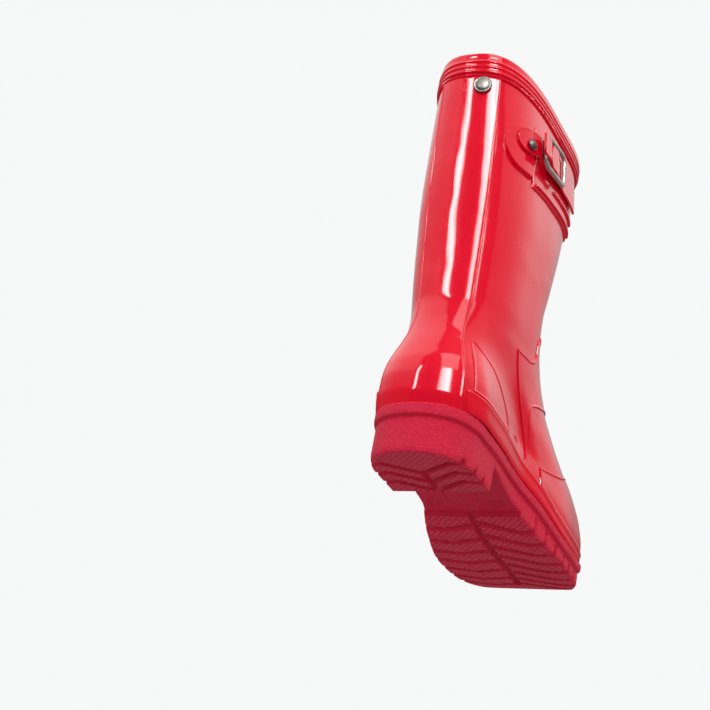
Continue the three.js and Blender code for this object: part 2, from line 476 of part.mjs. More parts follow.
// collar band with three ridges
{
  const s = new Shell(), t = OVERLAY + GAP, top = K - 0.01, prof = [[COLLAR_V, GAP], [COLLAR_V, t]]
  for (const v of [12.70, 12.78, 12.86]) prof.push([v, t], [v + 0.02, t + 0.6], [v + 0.04, t])
  prof.push([top, t], [top, GAP])
  const rows = prof.map(([v, d]) => ringRow(s, (u) => off(v, u, d)))
  rows.forEach((r, i) => join(s, r, rows[(i + 1) % rows.length]))
  keep('collar_band', s.solid(), gloss(RED))
}
// rear tab under the strap, rounded at its back end
const tabT = OVERLAY * 2 + GAP
keep('strap_tab', onBody(patch(7, 4, (i, j, k) => {
  const x = 27 + 25 * i, r = (STRAP_W / 2 + TAB_RIM), w = i < 0.5 ? Math.sqrt(Math.max(r * r - (r - 25 * i * 1.36) ** 2, 16)) : r
  return at(x * SX, 236 * SZ + Math.min(w, r) * (2 * j - 1), k ? tabT : -1)
})).subtract(rivet.bore), gloss(RED))
// gusset panel with two raised ribs
{
  const plate = (x0, x1, z0, z1, d0, d1, n) => patch(n, 2, (i, j, k) => at((x0 + (x1 - x0) * i) * SX,
    (z0(x0 + (x1 - x0) * i) + (z1(x0 + (x1 - x0) * i) - z0(x0 + (x1 - x0) * i)) * j) * SZ, k ? d1 : d0))
  const lowEdge = (x) => 214 + (x - 54) * 0.12
  let m = plate(54, 140, lowEdge, () => FRAME_Z + (STRAP_W / 2 + 7) / SZ, -1, OVERLAY + GAP, 11)
  m = m.add(plate(56, 126, (x) => lowEdge(x) + 1.5, (x) => lowEdge(x) + 5, OVERLAY - 0.2, OVERLAY + GAP + 1.5, 9))
  m = m.add(plate(88, 126, (x) => lowEdge(x) + 11, (x) => lowEdge(x) + 14.5, OVERLAY - 0.2, OVERLAY + GAP + 1.5, 5))
  keep('gusset_panel', onBody(m), gloss(RED))
}
// buckle and the two straps
keep('buckle_frame', frame(), metal)
const hx = -(FRAME_L / 2 - BAR_D / 2), tx = FRAME_L / 2 - BAR_D / 2, ring = BAR_D / 2 + 0.35 + STRAP_T / 2
const fold = [], neck = STRAP_W / 2 - STRAP_NECK
for (let k = 0; k <= 6; k++) { const t = (-100 + 200 * k / 6) * Math.PI / 180; fold.push([hx + ring * Math.cos(t), ring * Math.sin(t), neck]) }
// height of the leg's skin along the frame's normal, a mm along the strap from the frame's middle
const skinAt = (a) => at(FRAME_X * SX + a * Math.cos(tilt), FRAME_Z * SZ + a * Math.sin(tilt), 0).sub(fC).dot(fN)
const onTab = (a, d = 0) => [a, skinAt(a) + tabT + GAP + STRAP_T / 2 + 0.3 + d]
const rearEnd = (RIVET_X - FRAME_X) * SX / Math.cos(tilt) - STRAP_END, rearOn = rearEnd + 4.5, rearOff = hx - 11.5
const onPanel = (a, d = 0) => [a, skinAt(a) + OVERLAY + 2 * GAP + STRAP_T / 2 + 0.3 + d]
keep('strap_rear', ribbon([[...onTab(rearEnd), STRAP_W / 2 - 4], [...onTab(rearEnd + 1.5), STRAP_W / 2 - 1.4], onTab(rearOn), onTab((rearOn + rearOff) / 2), onTab(rearOff),
  [hx - 5, -ring * 0.98, neck], ...fold, [hx - 5, ring * 0.9, neck], [hx - 9.5, 1.0 + STRAP_T, neck]], STRAP_W / 2).subtract(rivet.bore).subtract(filled(tabT + 2 * GAP, 10, K)), gloss(RED))
keep('strap_front', ribbon([onPanel(60), onPanel(52), onPanel(44), onPanel(36), onPanel(28), [tx + 2, -BAR_D / 2 - STRAP_T / 2 - 0.5], [tx - 5, -2.2],
  [4, 0.2], [-6, 0.6], [-9, 0.6, STRAP_W / 2 - 3]], STRAP_W / 2).subtract(filled(OVERLAY + 3 * GAP, 10, K)), gloss(RED))
keep('strap_rivet_cap', rivet.cap, metal)
keep('strap_rivet_post', rivet.base, metal)
keep('badge_stud_cap', badge.cap, metal)
keep('badge_stud_post', badge.base, metal)
export default group
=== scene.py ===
import bmesh, bpy, math
import numpy as np
from mathutils import Matrix, Vector

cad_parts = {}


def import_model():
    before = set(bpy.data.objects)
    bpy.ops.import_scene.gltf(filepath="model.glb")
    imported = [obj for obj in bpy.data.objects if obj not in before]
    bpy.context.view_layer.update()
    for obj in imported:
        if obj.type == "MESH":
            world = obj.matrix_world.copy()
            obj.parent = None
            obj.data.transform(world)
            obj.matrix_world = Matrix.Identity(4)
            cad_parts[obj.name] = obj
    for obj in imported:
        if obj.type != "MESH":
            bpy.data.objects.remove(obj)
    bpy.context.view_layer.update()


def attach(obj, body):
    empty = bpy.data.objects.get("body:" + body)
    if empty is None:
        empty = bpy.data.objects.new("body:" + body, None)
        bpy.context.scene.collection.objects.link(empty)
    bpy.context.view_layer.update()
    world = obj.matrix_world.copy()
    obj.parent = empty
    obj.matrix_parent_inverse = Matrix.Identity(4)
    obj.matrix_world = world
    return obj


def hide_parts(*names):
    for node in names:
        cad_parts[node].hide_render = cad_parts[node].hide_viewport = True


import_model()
MM = 0.001
FULL = 2 * math.pi

# ---------------------------------------------------------------- sizes, in millimetres
LENGTH, BALL_HALF, HEEL_PAD = 266.6, 47.0, 18.0     # sole: length, half width; origin to the heel's back
HEEL_LONG, WAIST_END = 61.5, 117.0                  # heel block's front, start of the forefoot tread
GROOVE_W, GROOVE_D, PITCH, SPINE_W = 3.5, 3.4, 16.4, 4.2
BEAD_HEEL, BEAD_TOE = 8.0, 5.0                      # thick edge of the sole
WALL, LAYER = 2.2, 1.25                             # rubber, and how far a second layer stands off it
THIN_LAYER, THIN_BEAD = 0.5, 0.45                   # layers of foot and heel, and the bead round them
LINING, LINING_GAP, BOARD_T, BED_GAP = 1.4, 0.6, 1.5, 1.2
COLLAR_V = 12.62                                    # collar band's lower edge, in stations
TAB_BACK, TAB_LONG, TAB_Z, TAB_HALF, TAB_T = 27.0, 25.0, 236.0, 17.2, 2.5
PANEL_BACK, PANEL_LONG, PANEL_TOP = 53.0, 88.0, 262.0
RIB_W, RIB_HIGH = 3.2, 1.5                          # ribs on the panel
STRAP_W, STRAP_T, STRAP_NECK, STRAP_END = 18.0, 1.8, 1.4, 12.5
FRAME_L, FRAME_H, BAR_D, FRAME_R = 36.0, 26.0, 3.0, 4.5
FRAME_OUT, FRAME_X, FRAME_Z, FRAME_TILT = 6.6, 72.7, 246.0, 5.0
RIVET_X, RIVET_Z, RIVET_D = 44.0, 239.8, 8.0
BADGE_U, BADGE_D, BADGE_DROP = 0.157, 12.5, 1.4
WELD = 0.02                                         # points closer than this are one


# ---------------------------------------------------------------- shape of the boot's skin
# stations from the sole's flange (0) to the rim (13): back x, z; front x, z; half width;
# heel half width; foot-to-leg mix; sideways shift
STATIONS = np.array([
    [3.5, 32.3, 260, 27.3, 45.6, 47.0, 0.00, 0],
    [0.8, 42.0, 262, 37.0, 45.6, 47.6, 0.00, 0],
    [0.5, 52.0, 257, 49.0, 44.0, 46.8, 0.00, 0],
    [2.0, 62.0, 241, 60.0, 41.5, 45.2, 0.15, 0],
    [6.0, 72.0, 217, 68.5, 39.0, 42.5, 0.40, 0],
    [10.5, 82.0, 192, 79.0, 36.5, 38.5, 0.70, 0],
    [15.0, 92.0, 168, 93.0, 35.0, 35.4, 0.90, 0],
    [19.0, 104, 149, 110, 34.5, 34.5, 1.00, 0],
    [21.5, 118, 137, 129, 35.5, 35.5, 1.00, -0.5],
    [21.5, 138, 135, 150, 36.8, 36.8, 1.00, -1.5],
    [20.5, 165, 141, 175, 38.5, 38.5, 1.00, -2.5],
    [19.0, 200, 151, 208, 39.8, 39.8, 1.00, -4.0],
    [17.5, 250, 168, 255, 39.0, 39.0, 1.00, -6.0],
    [16.0, 299, 184, 304.5, 36.8, 36.8, 1.00, -8.0]])
TOP = len(STATIONS) - 1


def smooth_curve(xs, ys):
    """A curve through a table that never overshoots between its points."""
    xs, ys = np.array(xs, float), np.array(ys, float)
    h, d = np.diff(xs), np.diff(ys) / np.diff(xs)
    m = np.zeros(len(xs))
    for i in range(1, len(xs) - 1):
        if d[i - 1] * d[i] > 0:
            w1, w2 = 2 * h[i] + h[i - 1], h[i] + 2 * h[i - 1]
            m[i] = (w1 + w2) / (w1 / d[i - 1] + w2 / d[i])
    m[0], m[-1] = d[0], d[-1]

    def at(x):
        q = np.clip(x, xs[0], xs[-1])
        i = np.clip(np.searchsorted(xs, q, side="left") - 1, 0, len(xs) - 2)
        t = (q - xs[i]) / h[i]
        t2, t3 = t * t, t * t * t
        return ((2 * t3 - 3 * t2 + 1) * ys[i] + (t3 - 2 * t2 + t) * h[i] * m[i]
                + (3 * t2 - 2 * t3) * ys[i + 1] + (t3 - t2) * h[i] * m[i + 1])
    return at


station = [smooth_curve(range(TOP + 1), STATIONS[:, k]) for k in range(8)]
half_width = smooth_curve([0, 0.25, 0.5, 0.726, 1.0, 1.33, 1.6, 1.94, 2.25, 2.55, 2.85, math.pi],
                          [0, 18.5, 30.5, 34.6, 34.6, 33.2, 40.0, 46.3, 44.3, 36.3, 20.5, 0])
middle = smooth_curve([0, 0.2, 0.38, 0.55, 0.68, 0.82, 0.93, 1], [0, 1, 0.9, 0.3, -0.7, -1.7, -2.6, -5])
sag = smooth_curve([0, 0.37, 0.527, 0.68, 0.818, 0.934, 1], [0, 0, 6.4, 13.9, 12.2, 4.7, 0])


def fold_angle(u):
    """(angle from the back, 0 to pi; side, +1 outer and -1 inner) for a full turn u."""
    w = np.mod(u, FULL)
    return np.where(w <= math.pi, w, FULL - w), np.where(w <= math.pi, 1.0, -1.0)


def skin(v, u):
    """Points on the rubber's outer skin, heel-based: x forward, y to the outer side, z up."""
    v, u = np.broadcast_arrays(np.asarray(v, float), np.asarray(u, float))
    xb, zb, xf, zf, w, wh, mix, cy = [f(v) for f in station]
    phi, side = fold_angle(u)
    c, s, e = np.cos(phi), (1 - np.cos(phi)) / 2, 2 / 2.7
    ww = wh + (w - wh) * np.clip((s - 0.12) / 0.3, 0, 1)
    xf_foot, y_foot = xb + (xf - xb) * s, middle(s) * (1 - mix) + side * half_width(phi) * ww / BALL_HALF
    x_leg = xb + (xf - xb) * (1 - np.sign(c) * np.abs(c) ** e) / 2
    y_leg = side * w * np.abs(np.sin(phi)) ** e
    x = xf_foot * (1 - mix) + x_leg * mix
    y = y_foot * (1 - mix) + y_leg * mix + cy
    t = (x - xb) / (xf - xb)
    z = zb + (zf - zb) * t - sag(np.clip(t, 0, 1)) * np.clip(1 - v / 5, 0, 1)
    z = z - 7.3 * np.sin(math.pi * t) * np.clip((v - TOP + 1.5) / 1.5, 0, 1)
    return np.stack([x, y, z], -1)


def skin_normal(v, u):
    """Direction straight out of the skin."""
    h = 0.05
    v, u = np.broadcast_arrays(np.asarray(v, float), np.asarray(u, float))
    up = skin(np.minimum(v + h, TOP), u) - skin(np.maximum(v - h, 0), u)
    n = np.cross(up, skin(v, u + h) - skin(v, u - h))
    return n / np.maximum(np.linalg.norm(n, axis=-1, keepdims=True), 1e-9)


def off_skin(v, u, d):
    """Points d outside the skin, inside it where d is negative."""
    return skin(v, u) + skin_normal(v, u) * np.asarray(d, float)[..., None]


def under(x, z):
    """Station and angle of the outer-side skin at height z and distance x from the heel."""
    x, z = np.broadcast_arrays(np.asarray(x, float), np.asarray(z, float))
    v = np.clip(9.0 + (z - 138) / 41.0, 8, TOP)
    u = np.clip(np.arccos(np.clip(1 - 2 * (x - 18) / 150, -0.95, 0.95)), 0.2, 2.9)
    h = 1e-4
    for _ in range(25):
        p = skin(v, u)
        dv, du = (skin(v + h, u) - p) / h, (skin(v, u + h) - p) / h
        det = dv[..., 0] * du[..., 2] - dv[..., 2] * du[..., 0]
        ex, ez = x - p[..., 0], z - p[..., 2]
        v = np.clip(v + np.clip((ex * du[..., 2] - ez * du[..., 0]) / det, -0.5, 0.5), 7, TOP - 0.01)
        u = np.clip(u + np.clip((dv[..., 0] * ez - dv[..., 2] * ex) / det, -0.3, 0.3), 0.02, 3.1)
    return v, u


def place(p):
    """Heel-based millimetres to the part's own frame, in metres."""
    p = np.asarray(p, float)
    return np.stack([-p[..., 1], HEEL_PAD - p[..., 0], p[..., 2]], -1) * MM


def ease(x):
    """0 to 1 with soft ends."""
    x = np.clip(x, 0, 1)
    return x * x * (3 - 2 * x)


# ---------------------------------------------------------------- making pieces
def piece(name, verts, faces, node_names, mat, body="boot"):
    """A mesh piece that rides on a body and stands for the named parts of the model."""
    mesh = bpy.data.meshes.new(name)
    mesh.from_pydata([tuple(p) for p in verts], [], faces)
    mesh.validate()
    mesh.polygons.foreach_set("use_smooth", [True] * len(mesh.polygons))
    mesh.update()
    o = bpy.data.objects.new(name, mesh)
    bpy.context.scene.collection.objects.link(o)
    o.data.materials.append(mat)
    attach(o, body)
    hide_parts(*node_names)
    return o


def face_out(o, weld=False):
    """Turns every face outward, after joining doubled points where weld is set."""
    bm = bmesh.new()
    bm.from_mesh(o.data)
    if weld:
        bmesh.ops.remove_doubles(bm, verts=bm.verts, dist=WELD * MM)
    bmesh.ops.recalc_face_normals(bm, faces=bm.faces)
    bm.to_mesh(o.data)
    bm.free()
    return o


def grid_faces(rows, cols, wrap=False, base=0):
    """Quads over a grid of rows x cols points, joined end to end when wrap is set."""
    r = np.arange(rows - 1)[:, None]
    c = np.arange(cols if wrap else cols - 1)[None, :]
    a = r * cols + c
    b = r * cols + (c + 1) % cols
    q = np.stack([a, b, b + cols, a + cols], -1).reshape(-1, 4) + base
    return q.tolist()


def two_sided(outer, inner, wrap=False):
    """Points and faces of a sheet with an outer and an inner face, closed round its edges."""
    rows, cols = outer.shape[:2]
    n = rows * cols
    verts = np.concatenate([outer.reshape(-1, 3), inner.reshape(-1, 3)])
    faces = grid_faces(rows, cols, wrap) + [f[::-1] for f in grid_faces(rows, cols, wrap, n)]
    last = cols if wrap else cols - 1
    for c in range(last):
        d = (c + 1) % cols
        faces.append([c, n + c, n + d, d])
        e = (rows - 1) * cols
        faces.append([e + c, e + d, n + e + d, n + e + c])
    if not wrap:
        for r in range(rows - 1):
            a, b = r * cols, (r + 1) * cols
            faces.append([a, b, n + b, n + a])
            faces.append([a + cols - 1, n + a + cols - 1, n + b + cols - 1, b + cols - 1])
    return verts, faces


def edge_steps(count, length, fine=0.25, reach=2.4):
    """0 to 1 in steps that are close together near both ends, so that moulded edges stay round."""
    k = np.arange(0, reach + 1e-6, fine) / length
    k = k[k < 0.45]
    inner = np.linspace(k[-1], 1 - k[-1], max(count, 3))
    return np.concatenate([k[:-1], inner, 1 - k[:-1][::-1]])


def run_along(points):
    """Distance from the first row to each row of points, measured along the surface."""
    steps = np.linalg.norm(np.diff(points, axis=0), axis=-1)
    return np.concatenate([np.zeros_like(points[:1, :, 0]), np.cumsum(steps, 0)])


def layer(name, node_names, v_of, u_of, size, count, height=LAYER, bead=0.35, bare=()):
    """A second layer of gloss rubber on the skin.  v_of and u_of take i, j from 0 to 1; size is
    its rough length along i and j; edges in bare run under a neighbour and stay square."""
    i, j = edge_steps(count[0], size[0]), edge_steps(count[1], size[1])
    I, J = np.meshgrid(i, j, indexing="ij")
    v, u = v_of(I, J), u_of(I, J)
    p = skin(v, u)
    si, sj = run_along(p), np.swapaxes(run_along(np.swapaxes(p, 0, 1)), 0, 1)
    edges = {"i0": si, "i1": si[-1:] - si, "j0": sj, "j1": sj[:, -1:] - sj}
    near = np.min([far for edge, far in edges.items() if edge not in bare], axis=0)
    d = -0.35 + (height + 0.35) * ease(near / 0.9) + bead * np.exp(-((near - 1.3) / 0.55) ** 2)
    out, inn = off_skin(v, u, d), off_skin(v, u, np.full(v.shape, -0.45))
    verts, faces = two_sided(place(out), place(inn))
    return face_out(piece(name, verts, faces, node_names, GLOSS))


# ---------------------------------------------------------------- materials
def linear(hex_colour):
    """A sRGB hex colour as linear red, green, blue and alpha."""
    c = [int(hex_colour[k:k + 2], 16) / 255 for k in (1, 3, 5)]
    return [x / 12.92 if x <= 0.04045 else ((x + 0.055) / 1.055) ** 2.4 for x in c] + [1.0]


def node(tree, kind, links=(), **settings):
    """Adds a node; links are (input, other node's output); settings name inputs or properties."""
    n = tree.nodes.new(kind)
    for key, value in settings.items():
        name = key.replace("_", " ")
        sockets = [s for s in n.inputs if s.name.lower() == name.lower()]
        if sockets and not hasattr(n, key):
            sockets[0].default_value = value
        else:
            setattr(n, key, value)
    for target, source in links:
        tree.links.new(n.inputs[target], source)
    return n


def noise(t, where, scale, detail):
    """Cloudy greys, scale blotches to the metre."""
    n = node(t, "ShaderNodeTexNoise", links=[("Vector", where)], Scale=scale, Detail=detail)
    return n.outputs["Fac"]


def cells(t, where, scale, randomness=1.0):
    """Distance from the middle of the nearest of scale cells to the metre."""
    n = node(t, "ShaderNodeTexVoronoi", links=[("Vector", where)], Scale=scale, Randomness=randomness)
    return n.outputs["Distance"]


def remap(t, value, from_low, from_high, to_low=0.0, to_high=1.0, smooth=False):
    """A value stretched from one range to another, held at both ends."""
    n = node(t, "ShaderNodeMapRange", links=[("Value", value)],
             interpolation_type="SMOOTHSTEP" if smooth else "LINEAR")
    limits = {"From Min": from_low, "From Max": from_high, "To Min": to_low, "To Max": to_high}
    for name, number in limits.items():
        n.inputs[name].default_value = number
    return n.outputs[0]


def calc(t, operation, first, second=None):
    """One sum; second is a number or another node's output."""
    n = node(t, "ShaderNodeMath", links=[(0, first)], operation=operation)
    if isinstance(second, (int, float)):
        n.inputs[1].default_value = second
    elif second is not None:
        t.links.new(n.inputs[1], second)
    return n.outputs[0]


def relief(t, height, strength, distance, over=None):
    """Small relief that only the light sees, laid over a coarser one where over is given."""
    n = node(t, "ShaderNodeBump", links=[("Height", height)], Strength=strength, Distance=distance)
    if over is not None:
        t.links.new(n.inputs["Normal"], over)
    return n.outputs["Normal"]


def blend_colours(t, factor, low, high):
    """From one hex colour to the other as factor goes from 0 to 1."""
    r = node(t, "ShaderNodeValToRGB", links=[("Fac", factor)])
    r.color_ramp.elements[0].color, r.color_ramp.elements[1].color = linear(low), linear(high)
    return r.outputs["Color"]


def choose(t, which, no, yes):
    """One shader where which is 0 and the other where it is 1."""
    links = [("Fac", which), (1, no.outputs[0]), (2, yes.outputs[0])]
    return node(t, "ShaderNodeMixShader", links=links)


def new_material(name):
    """A material with an empty tree, and the piece's own coordinates in metres."""
    m = bpy.data.materials.new(name)
    m.use_nodes = True
    m.node_tree.nodes.clear()
    return m, m.node_tree, node(m.node_tree, "ShaderNodeTexCoord")


def finish_material(t, colour, normal, roughness, **settings):
    """The shader and the output; settings name inputs of the shader."""
    s = node(t, "ShaderNodeBsdfPrincipled", links=[("Base Color", colour), ("Normal", normal)])
    if isinstance(roughness, float):
        s.inputs["Roughness"].default_value = roughness
    else:
        t.links.new(s.inputs["Roughness"], roughness)
    for key, value in settings.items():
        s.inputs[key.replace("_", " ")].default_value = value
    node(t, "ShaderNodeOutputMaterial", links=[("Surface", s.outputs[0])])
    return s


def gloss_rubber():
    """Natural rubber, hand laid and lacquered: a deep even red under a clear wet-looking coat,
    with the faint waviness of sheet rubber so that reflections are never quite straight."""
    m, t, place_on = new_material("lacquered_natural_rubber")
    where = place_on.outputs["Object"]
    cloud = noise(t, where, 14.0, 3.0)      # 70 mm patches
    wave = noise(t, where, 26.0, 1.0)       # 38 mm waves
    speck = noise(t, where, 900.0, 2.0)     # 1 mm bloom
    colour = blend_colours(t, cloud, "#D20020", "#E20028")
    tall = relief(t, wave, 0.5, 0.0016)
    fine = relief(t, speck, 0.06, 0.00004, over=tall)
    s = finish_material(t, colour, fine, remap(t, cloud, 0, 1, 0.22, 0.32), IOR=1.52,
                        Specular_IOR_Level=0.12, Coat_Weight=1.0, Coat_Roughness=0.035, Coat_IOR=1.5)
    t.links.new(s.inputs["Coat Normal"], tall)
    return m


def sole_rubber():
    """Moulded rubber with a coarse sand finish from the mould on its sides and rows of small pips
    on the faces that meet the ground: matt crimson, sparkling a little where light grazes it."""
    m, t, place_on = new_material("moulded_sole_rubber")
    where = place_on.outputs["Object"]
    facing = node(t, "ShaderNodeSeparateXYZ", links=[("Vector", place_on.outputs["Normal"])])
    under_side = remap(t, facing.outputs["Z"], -0.75, -0.95)
    turned_grid = node(t, "ShaderNodeMapping", links=[("Vector", where)])
    turned_grid.inputs["Rotation"].default_value = (0, 0, math.pi / 4)
    turned_grid.inputs["Scale"].default_value = (1, 1, 0.05)
    pips = cells(t, turned_grid.outputs[0], 300.0, randomness=0.0)      # 3.3 mm grid
    on_faces = calc(t, "MULTIPLY", remap(t, pips, 0.40, 0.22), under_side)
    # no pips on the arch, between the heel block and the forefoot
    along = node(t, "ShaderNodeSeparateXYZ", links=[("Vector", where)]).outputs["Y"]
    from_arch = calc(t, "ABSOLUTE", calc(t, "ADD", along, ((HEEL_LONG + WAIST_END) / 2 - HEEL_PAD) * MM))
    off_arch = calc(t, "GREATER_THAN", from_arch, (WAIST_END - HEEL_LONG) / 2 * MM)
    raised = calc(t, "MULTIPLY", on_faces, off_arch)
    cloud = noise(t, where, 26.0, 4.0)
    sand = noise(t, where, 900.0, 4.0)      # 1.1 mm sand
    colour = blend_colours(t, cloud, "#C80A32", "#D81840")
    dusty = node(t, "ShaderNodeMixRGB", links=[("Fac", sand), ("Color1", colour)], blend_type="MULTIPLY")
    dusty.inputs["Color2"].default_value = (0.94, 0.88, 0.90, 1)
    # the tips of the pips are painted paler: a painted highlight on their raised tops
    pip_tip_painted_highlight = node(t, "ShaderNodeMixRGB", links=[("Fac", calc(t, "MULTIPLY", raised, 0.45)),
                                                ("Color1", dusty.outputs[0])])
    pip_tip_painted_highlight.inputs["Color2"].default_value = linear("#F0607A")
    grain = relief(t, sand, 1.0, 0.0013, over=relief(t, raised, 1.0, 0.0005))
    finish_material(t, pip_tip_painted_highlight.outputs[0], grain, 0.5, IOR=1.5, Specular_IOR_Level=0.22)
    return m


def knit_lining():
    """Knitted cotton jersey: grey, with the rows of small loops that a machine knit shows."""
    m, t, place_on = new_material("knitted_cotton_lining")
    where = place_on.outputs["Object"]
    rows = node(t, "ShaderNodeTexWave", links=[("Vector", where)], Scale=180.0, Distortion=1.5, Detail=1.0)
    rows.bands_direction = "Z"              # courses 1.7 mm apart
    loops = cells(t, where, 620.0)          # 1.6 mm loops
    knit = calc(t, "MULTIPLY", rows.outputs["Fac"], loops)
    colour = blend_colours(t, knit, "#4A4D54", "#7C8088")
    finish_material(t, colour, relief(t, knit, 0.7, 0.0004), 0.92, Sheen_Weight=0.3)
    return m


def footbed_cloth():
    """Brushed cloth over foam: soft, pale grey and even, with a fine diagonal weave."""
    m, t, place_on = new_material("brushed_cloth_on_foam")
    where = place_on.outputs["Object"]
    weave = node(t, "ShaderNodeTexWave", links=[("Vector", where)], Scale=260.0, Distortion=0.6)
    weave.bands_direction = "DIAGONAL"      # 1.2 mm twill
    colour = blend_colours(t, noise(t, where, 700.0, 3.0), "#8C9098", "#B4B8C0")
    finish_material(t, colour, relief(t, weave.outputs["Fac"], 0.5, 0.0002), 0.95, Sheen_Weight=0.25)
    return m


def fibre_board():
    """Pressed cellulose board: buff, with short fibres."""
    m, t, place_on = new_material("pressed_fibre_board")
    fibre = noise(t, place_on.outputs["Object"], 600.0, 4.0)
    finish_material(t, blend_colours(t, fibre, "#A78A62", "#C8AE86"), relief(t, fibre, 0.4, 0.0001), 0.85)
    return m


def plated_zinc(name, dark, pale, metal, roughest, smoothest):
    """Die-cast zinc with a tumbled plate: soft grey metal, darker in its stains, with fine dents.
    A plate that is worn dull (metal under 1) scatters some light and looks paler."""
    m, t, place_on = new_material(name)
    where = place_on.outputs["Object"]
    stain = noise(t, where, 420.0, 4.0)     # 2.4 mm stains
    dents = relief(t, cells(t, where, 700.0), 0.25, 0.00012)
    finish_material(t, blend_colours(t, stain, dark, pale), dents,
                    remap(t, stain, 0, 1, roughest, smoothest), Metallic=metal)
    return m


GLOSS, SOLE, KNIT = gloss_rubber(), sole_rubber(), knit_lining()
CLOTH, BOARD = footbed_cloth(), fibre_board()
PEWTER = plated_zinc("antique_silver_plate", "#625F5A", "#B4B0A8", 1.0, 0.58, 0.40)
NICKEL = plated_zinc("worn_nickel_plate", "#9C9992", "#E6E2DA", 0.75, 0.60, 0.42)

# ---------------------------------------------------------------- leg and foot
def ring_angles(n):
    """n even angles round the boot."""
    return np.arange(n) / n * FULL


def across_rows(ring, n_mid):
    """Rows straight across a closed ring between points at the same angle left and right."""
    n = len(ring)
    rows = []
    for k in range(n // 2 + 1):
        a, b = ring[k], ring[(n - k) % n]
        rows.append(a[None] + (b - a)[None] * np.linspace(0, 1, n_mid)[:, None])
    return np.array(rows)


def closed_tube(rings, cols, rises=(0.0, 0.0)):
    """Points and faces of a tube of rings, its first and last ring filled straight across with
    rows of cols points, sunk in the middle by rises."""
    faces, verts = grid_faces(len(rings), rings.shape[1], wrap=True), [place(rings).reshape(-1, 3)]
    for ring, rise in zip((rings[0], rings[-1]), rises):
        rows = across_rows(ring, cols)
        s = np.linspace(0, 1, cols)
        rows[..., 2] -= rise * (4 * s * (1 - s))[None, :]
        base = sum(len(x) for x in verts)
        verts.append(place(rows).reshape(-1, 3))
        faces += grid_faces(rows.shape[0], cols, base=base)
    return np.concatenate(verts), faces


def upper_shell():
    """The leg and foot in one thin skin of gloss rubber, rolled over at the rim."""
    n = 240
    u = ring_angles(n)
    v = np.concatenate([np.linspace(0.03, 1, 10), np.linspace(1, 9, 110)[1:], np.linspace(9, TOP, 40)[1:]])
    V, U = np.meshgrid(v, u, indexing="ij")
    out = off_skin(V, U, np.zeros(V.shape))
    roll = []
    for a in np.linspace(0, math.pi, 7)[1:-1]:
        p = off_skin(np.full(n, TOP), u, np.full(n, -WALL / 2 + WALL / 2 * math.cos(a)))
        p[:, 2] += math.sin(a) * 0.5
        roll.append(p)
    vi = v[::-1][v[::-1] > 0.25]
    VI, UI = np.meshgrid(vi, u, indexing="ij")
    inn = off_skin(VI, UI, np.full(VI.shape, -WALL))
    verts, faces = closed_tube(np.concatenate([out, np.array(roll), inn]), 7)
    o = piece("upper_of_gloss_rubber", verts, faces, ["upper_shell"], GLOSS)
    return face_out(o, weld=True)


def lining():
    """Knitted sock inside the rubber, open at the top."""
    n = 160
    u = ring_angles(n)
    v = np.concatenate([np.linspace(0.55, 9, 60), np.linspace(9, TOP - 0.03, 20)[1:]])
    V, U = np.meshgrid(v, u, indexing="ij")
    out = off_skin(V, U, np.full(V.shape, -WALL - LINING_GAP))
    inn = off_skin(V[::-1], U[::-1], np.full(V.shape, -WALL - LINING_GAP - LINING))
    verts, faces = closed_tube(np.concatenate([out, inn[:-1]]), 7)
    o = piece("knitted_lining", verts, faces, ["lining"], KNIT)
    return face_out(o, weld=True)


def slab(name, node_name, mat, inset, v0, v1, crown=0.0):
    """A flat-across sole layer between two stations."""
    n = 120
    u = ring_angles(n)
    levels = np.linspace(v0, v1, 5)
    rings = np.array([off_skin(np.full(n, q), u, np.full(n, -inset - (0.5 if k in (0, 4) else 0)))
                      for k, q in enumerate(levels)])
    verts, faces = closed_tube(rings, 13, (0.0, crown))
    o = piece(name, verts, faces, [node_name], mat)
    return face_out(o, weld=True)


upper_shell()
lining()
slab("fibre_insole_board", "insole_board", BOARD, WALL + LINING_GAP, 0.29, 0.47)
footbed = slab("foam_footbed", "footbed", CLOTH, WALL + LINING_GAP + BOARD_T + BED_GAP,
               0.7, 1.11, crown=1.2)

# ---------------------------------------------------------------- second layers of rubber
rand_top = smooth_curve([0, 0.7, 1.1, 1.36, 1.55, 1.71, 1.83, 2.2, math.pi],
                        [1.47, 1.36, 1.32, 1.14, 1.0, 0.72, 0.62, 0.6, 0.6])
cap_top = smooth_curve([1.56, 1.9, 2.2, 2.6, math.pi], [2.0, 3.0, 3.7, 4.3, 4.6])
counter_top = smooth_curve([0, 0.5, 0.72, 0.92, 1.06, 1.12], [5.6, 5.4, 4.8, 4.3, 3.1, 1.9])
saddle_low = smooth_curve([1.42, 1.6, 1.85, 2.2, math.pi], [1.35, 4.9, 5.5, 5.9, 6.1])
saddle_high = smooth_curve([1.1, 1.42, 1.62, 1.84, 1.98, 2.3, math.pi],
                           [6.78, 6.82, 6.95, 7.46, 8.3, 8.3, 8.3])


def stay_half(v):
    """Half the back stay's angle, a little wider at the top."""
    return 0.40 + 0.05 * np.clip(v / TOP, 0, 1)


def closed_band(name, nodes, profile, n=240):
    """A band right round the skin; profile is a list of (station at angle u, height off skin)."""
    u = ring_angles(n)
    rings = np.array([off_skin(v(u), u, d(u) if callable(d) else np.full(n, float(d))) for v, d in profile])
    faces = grid_faces(len(rings), n, wrap=True)
    last = (len(rings) - 1) * n
    faces += [[last + c, last + (c + 1) % n, (c + 1) % n, c] for c in range(n)]
    return face_out(piece(name, place(rings).reshape(-1, 3), faces, nodes, GLOSS))


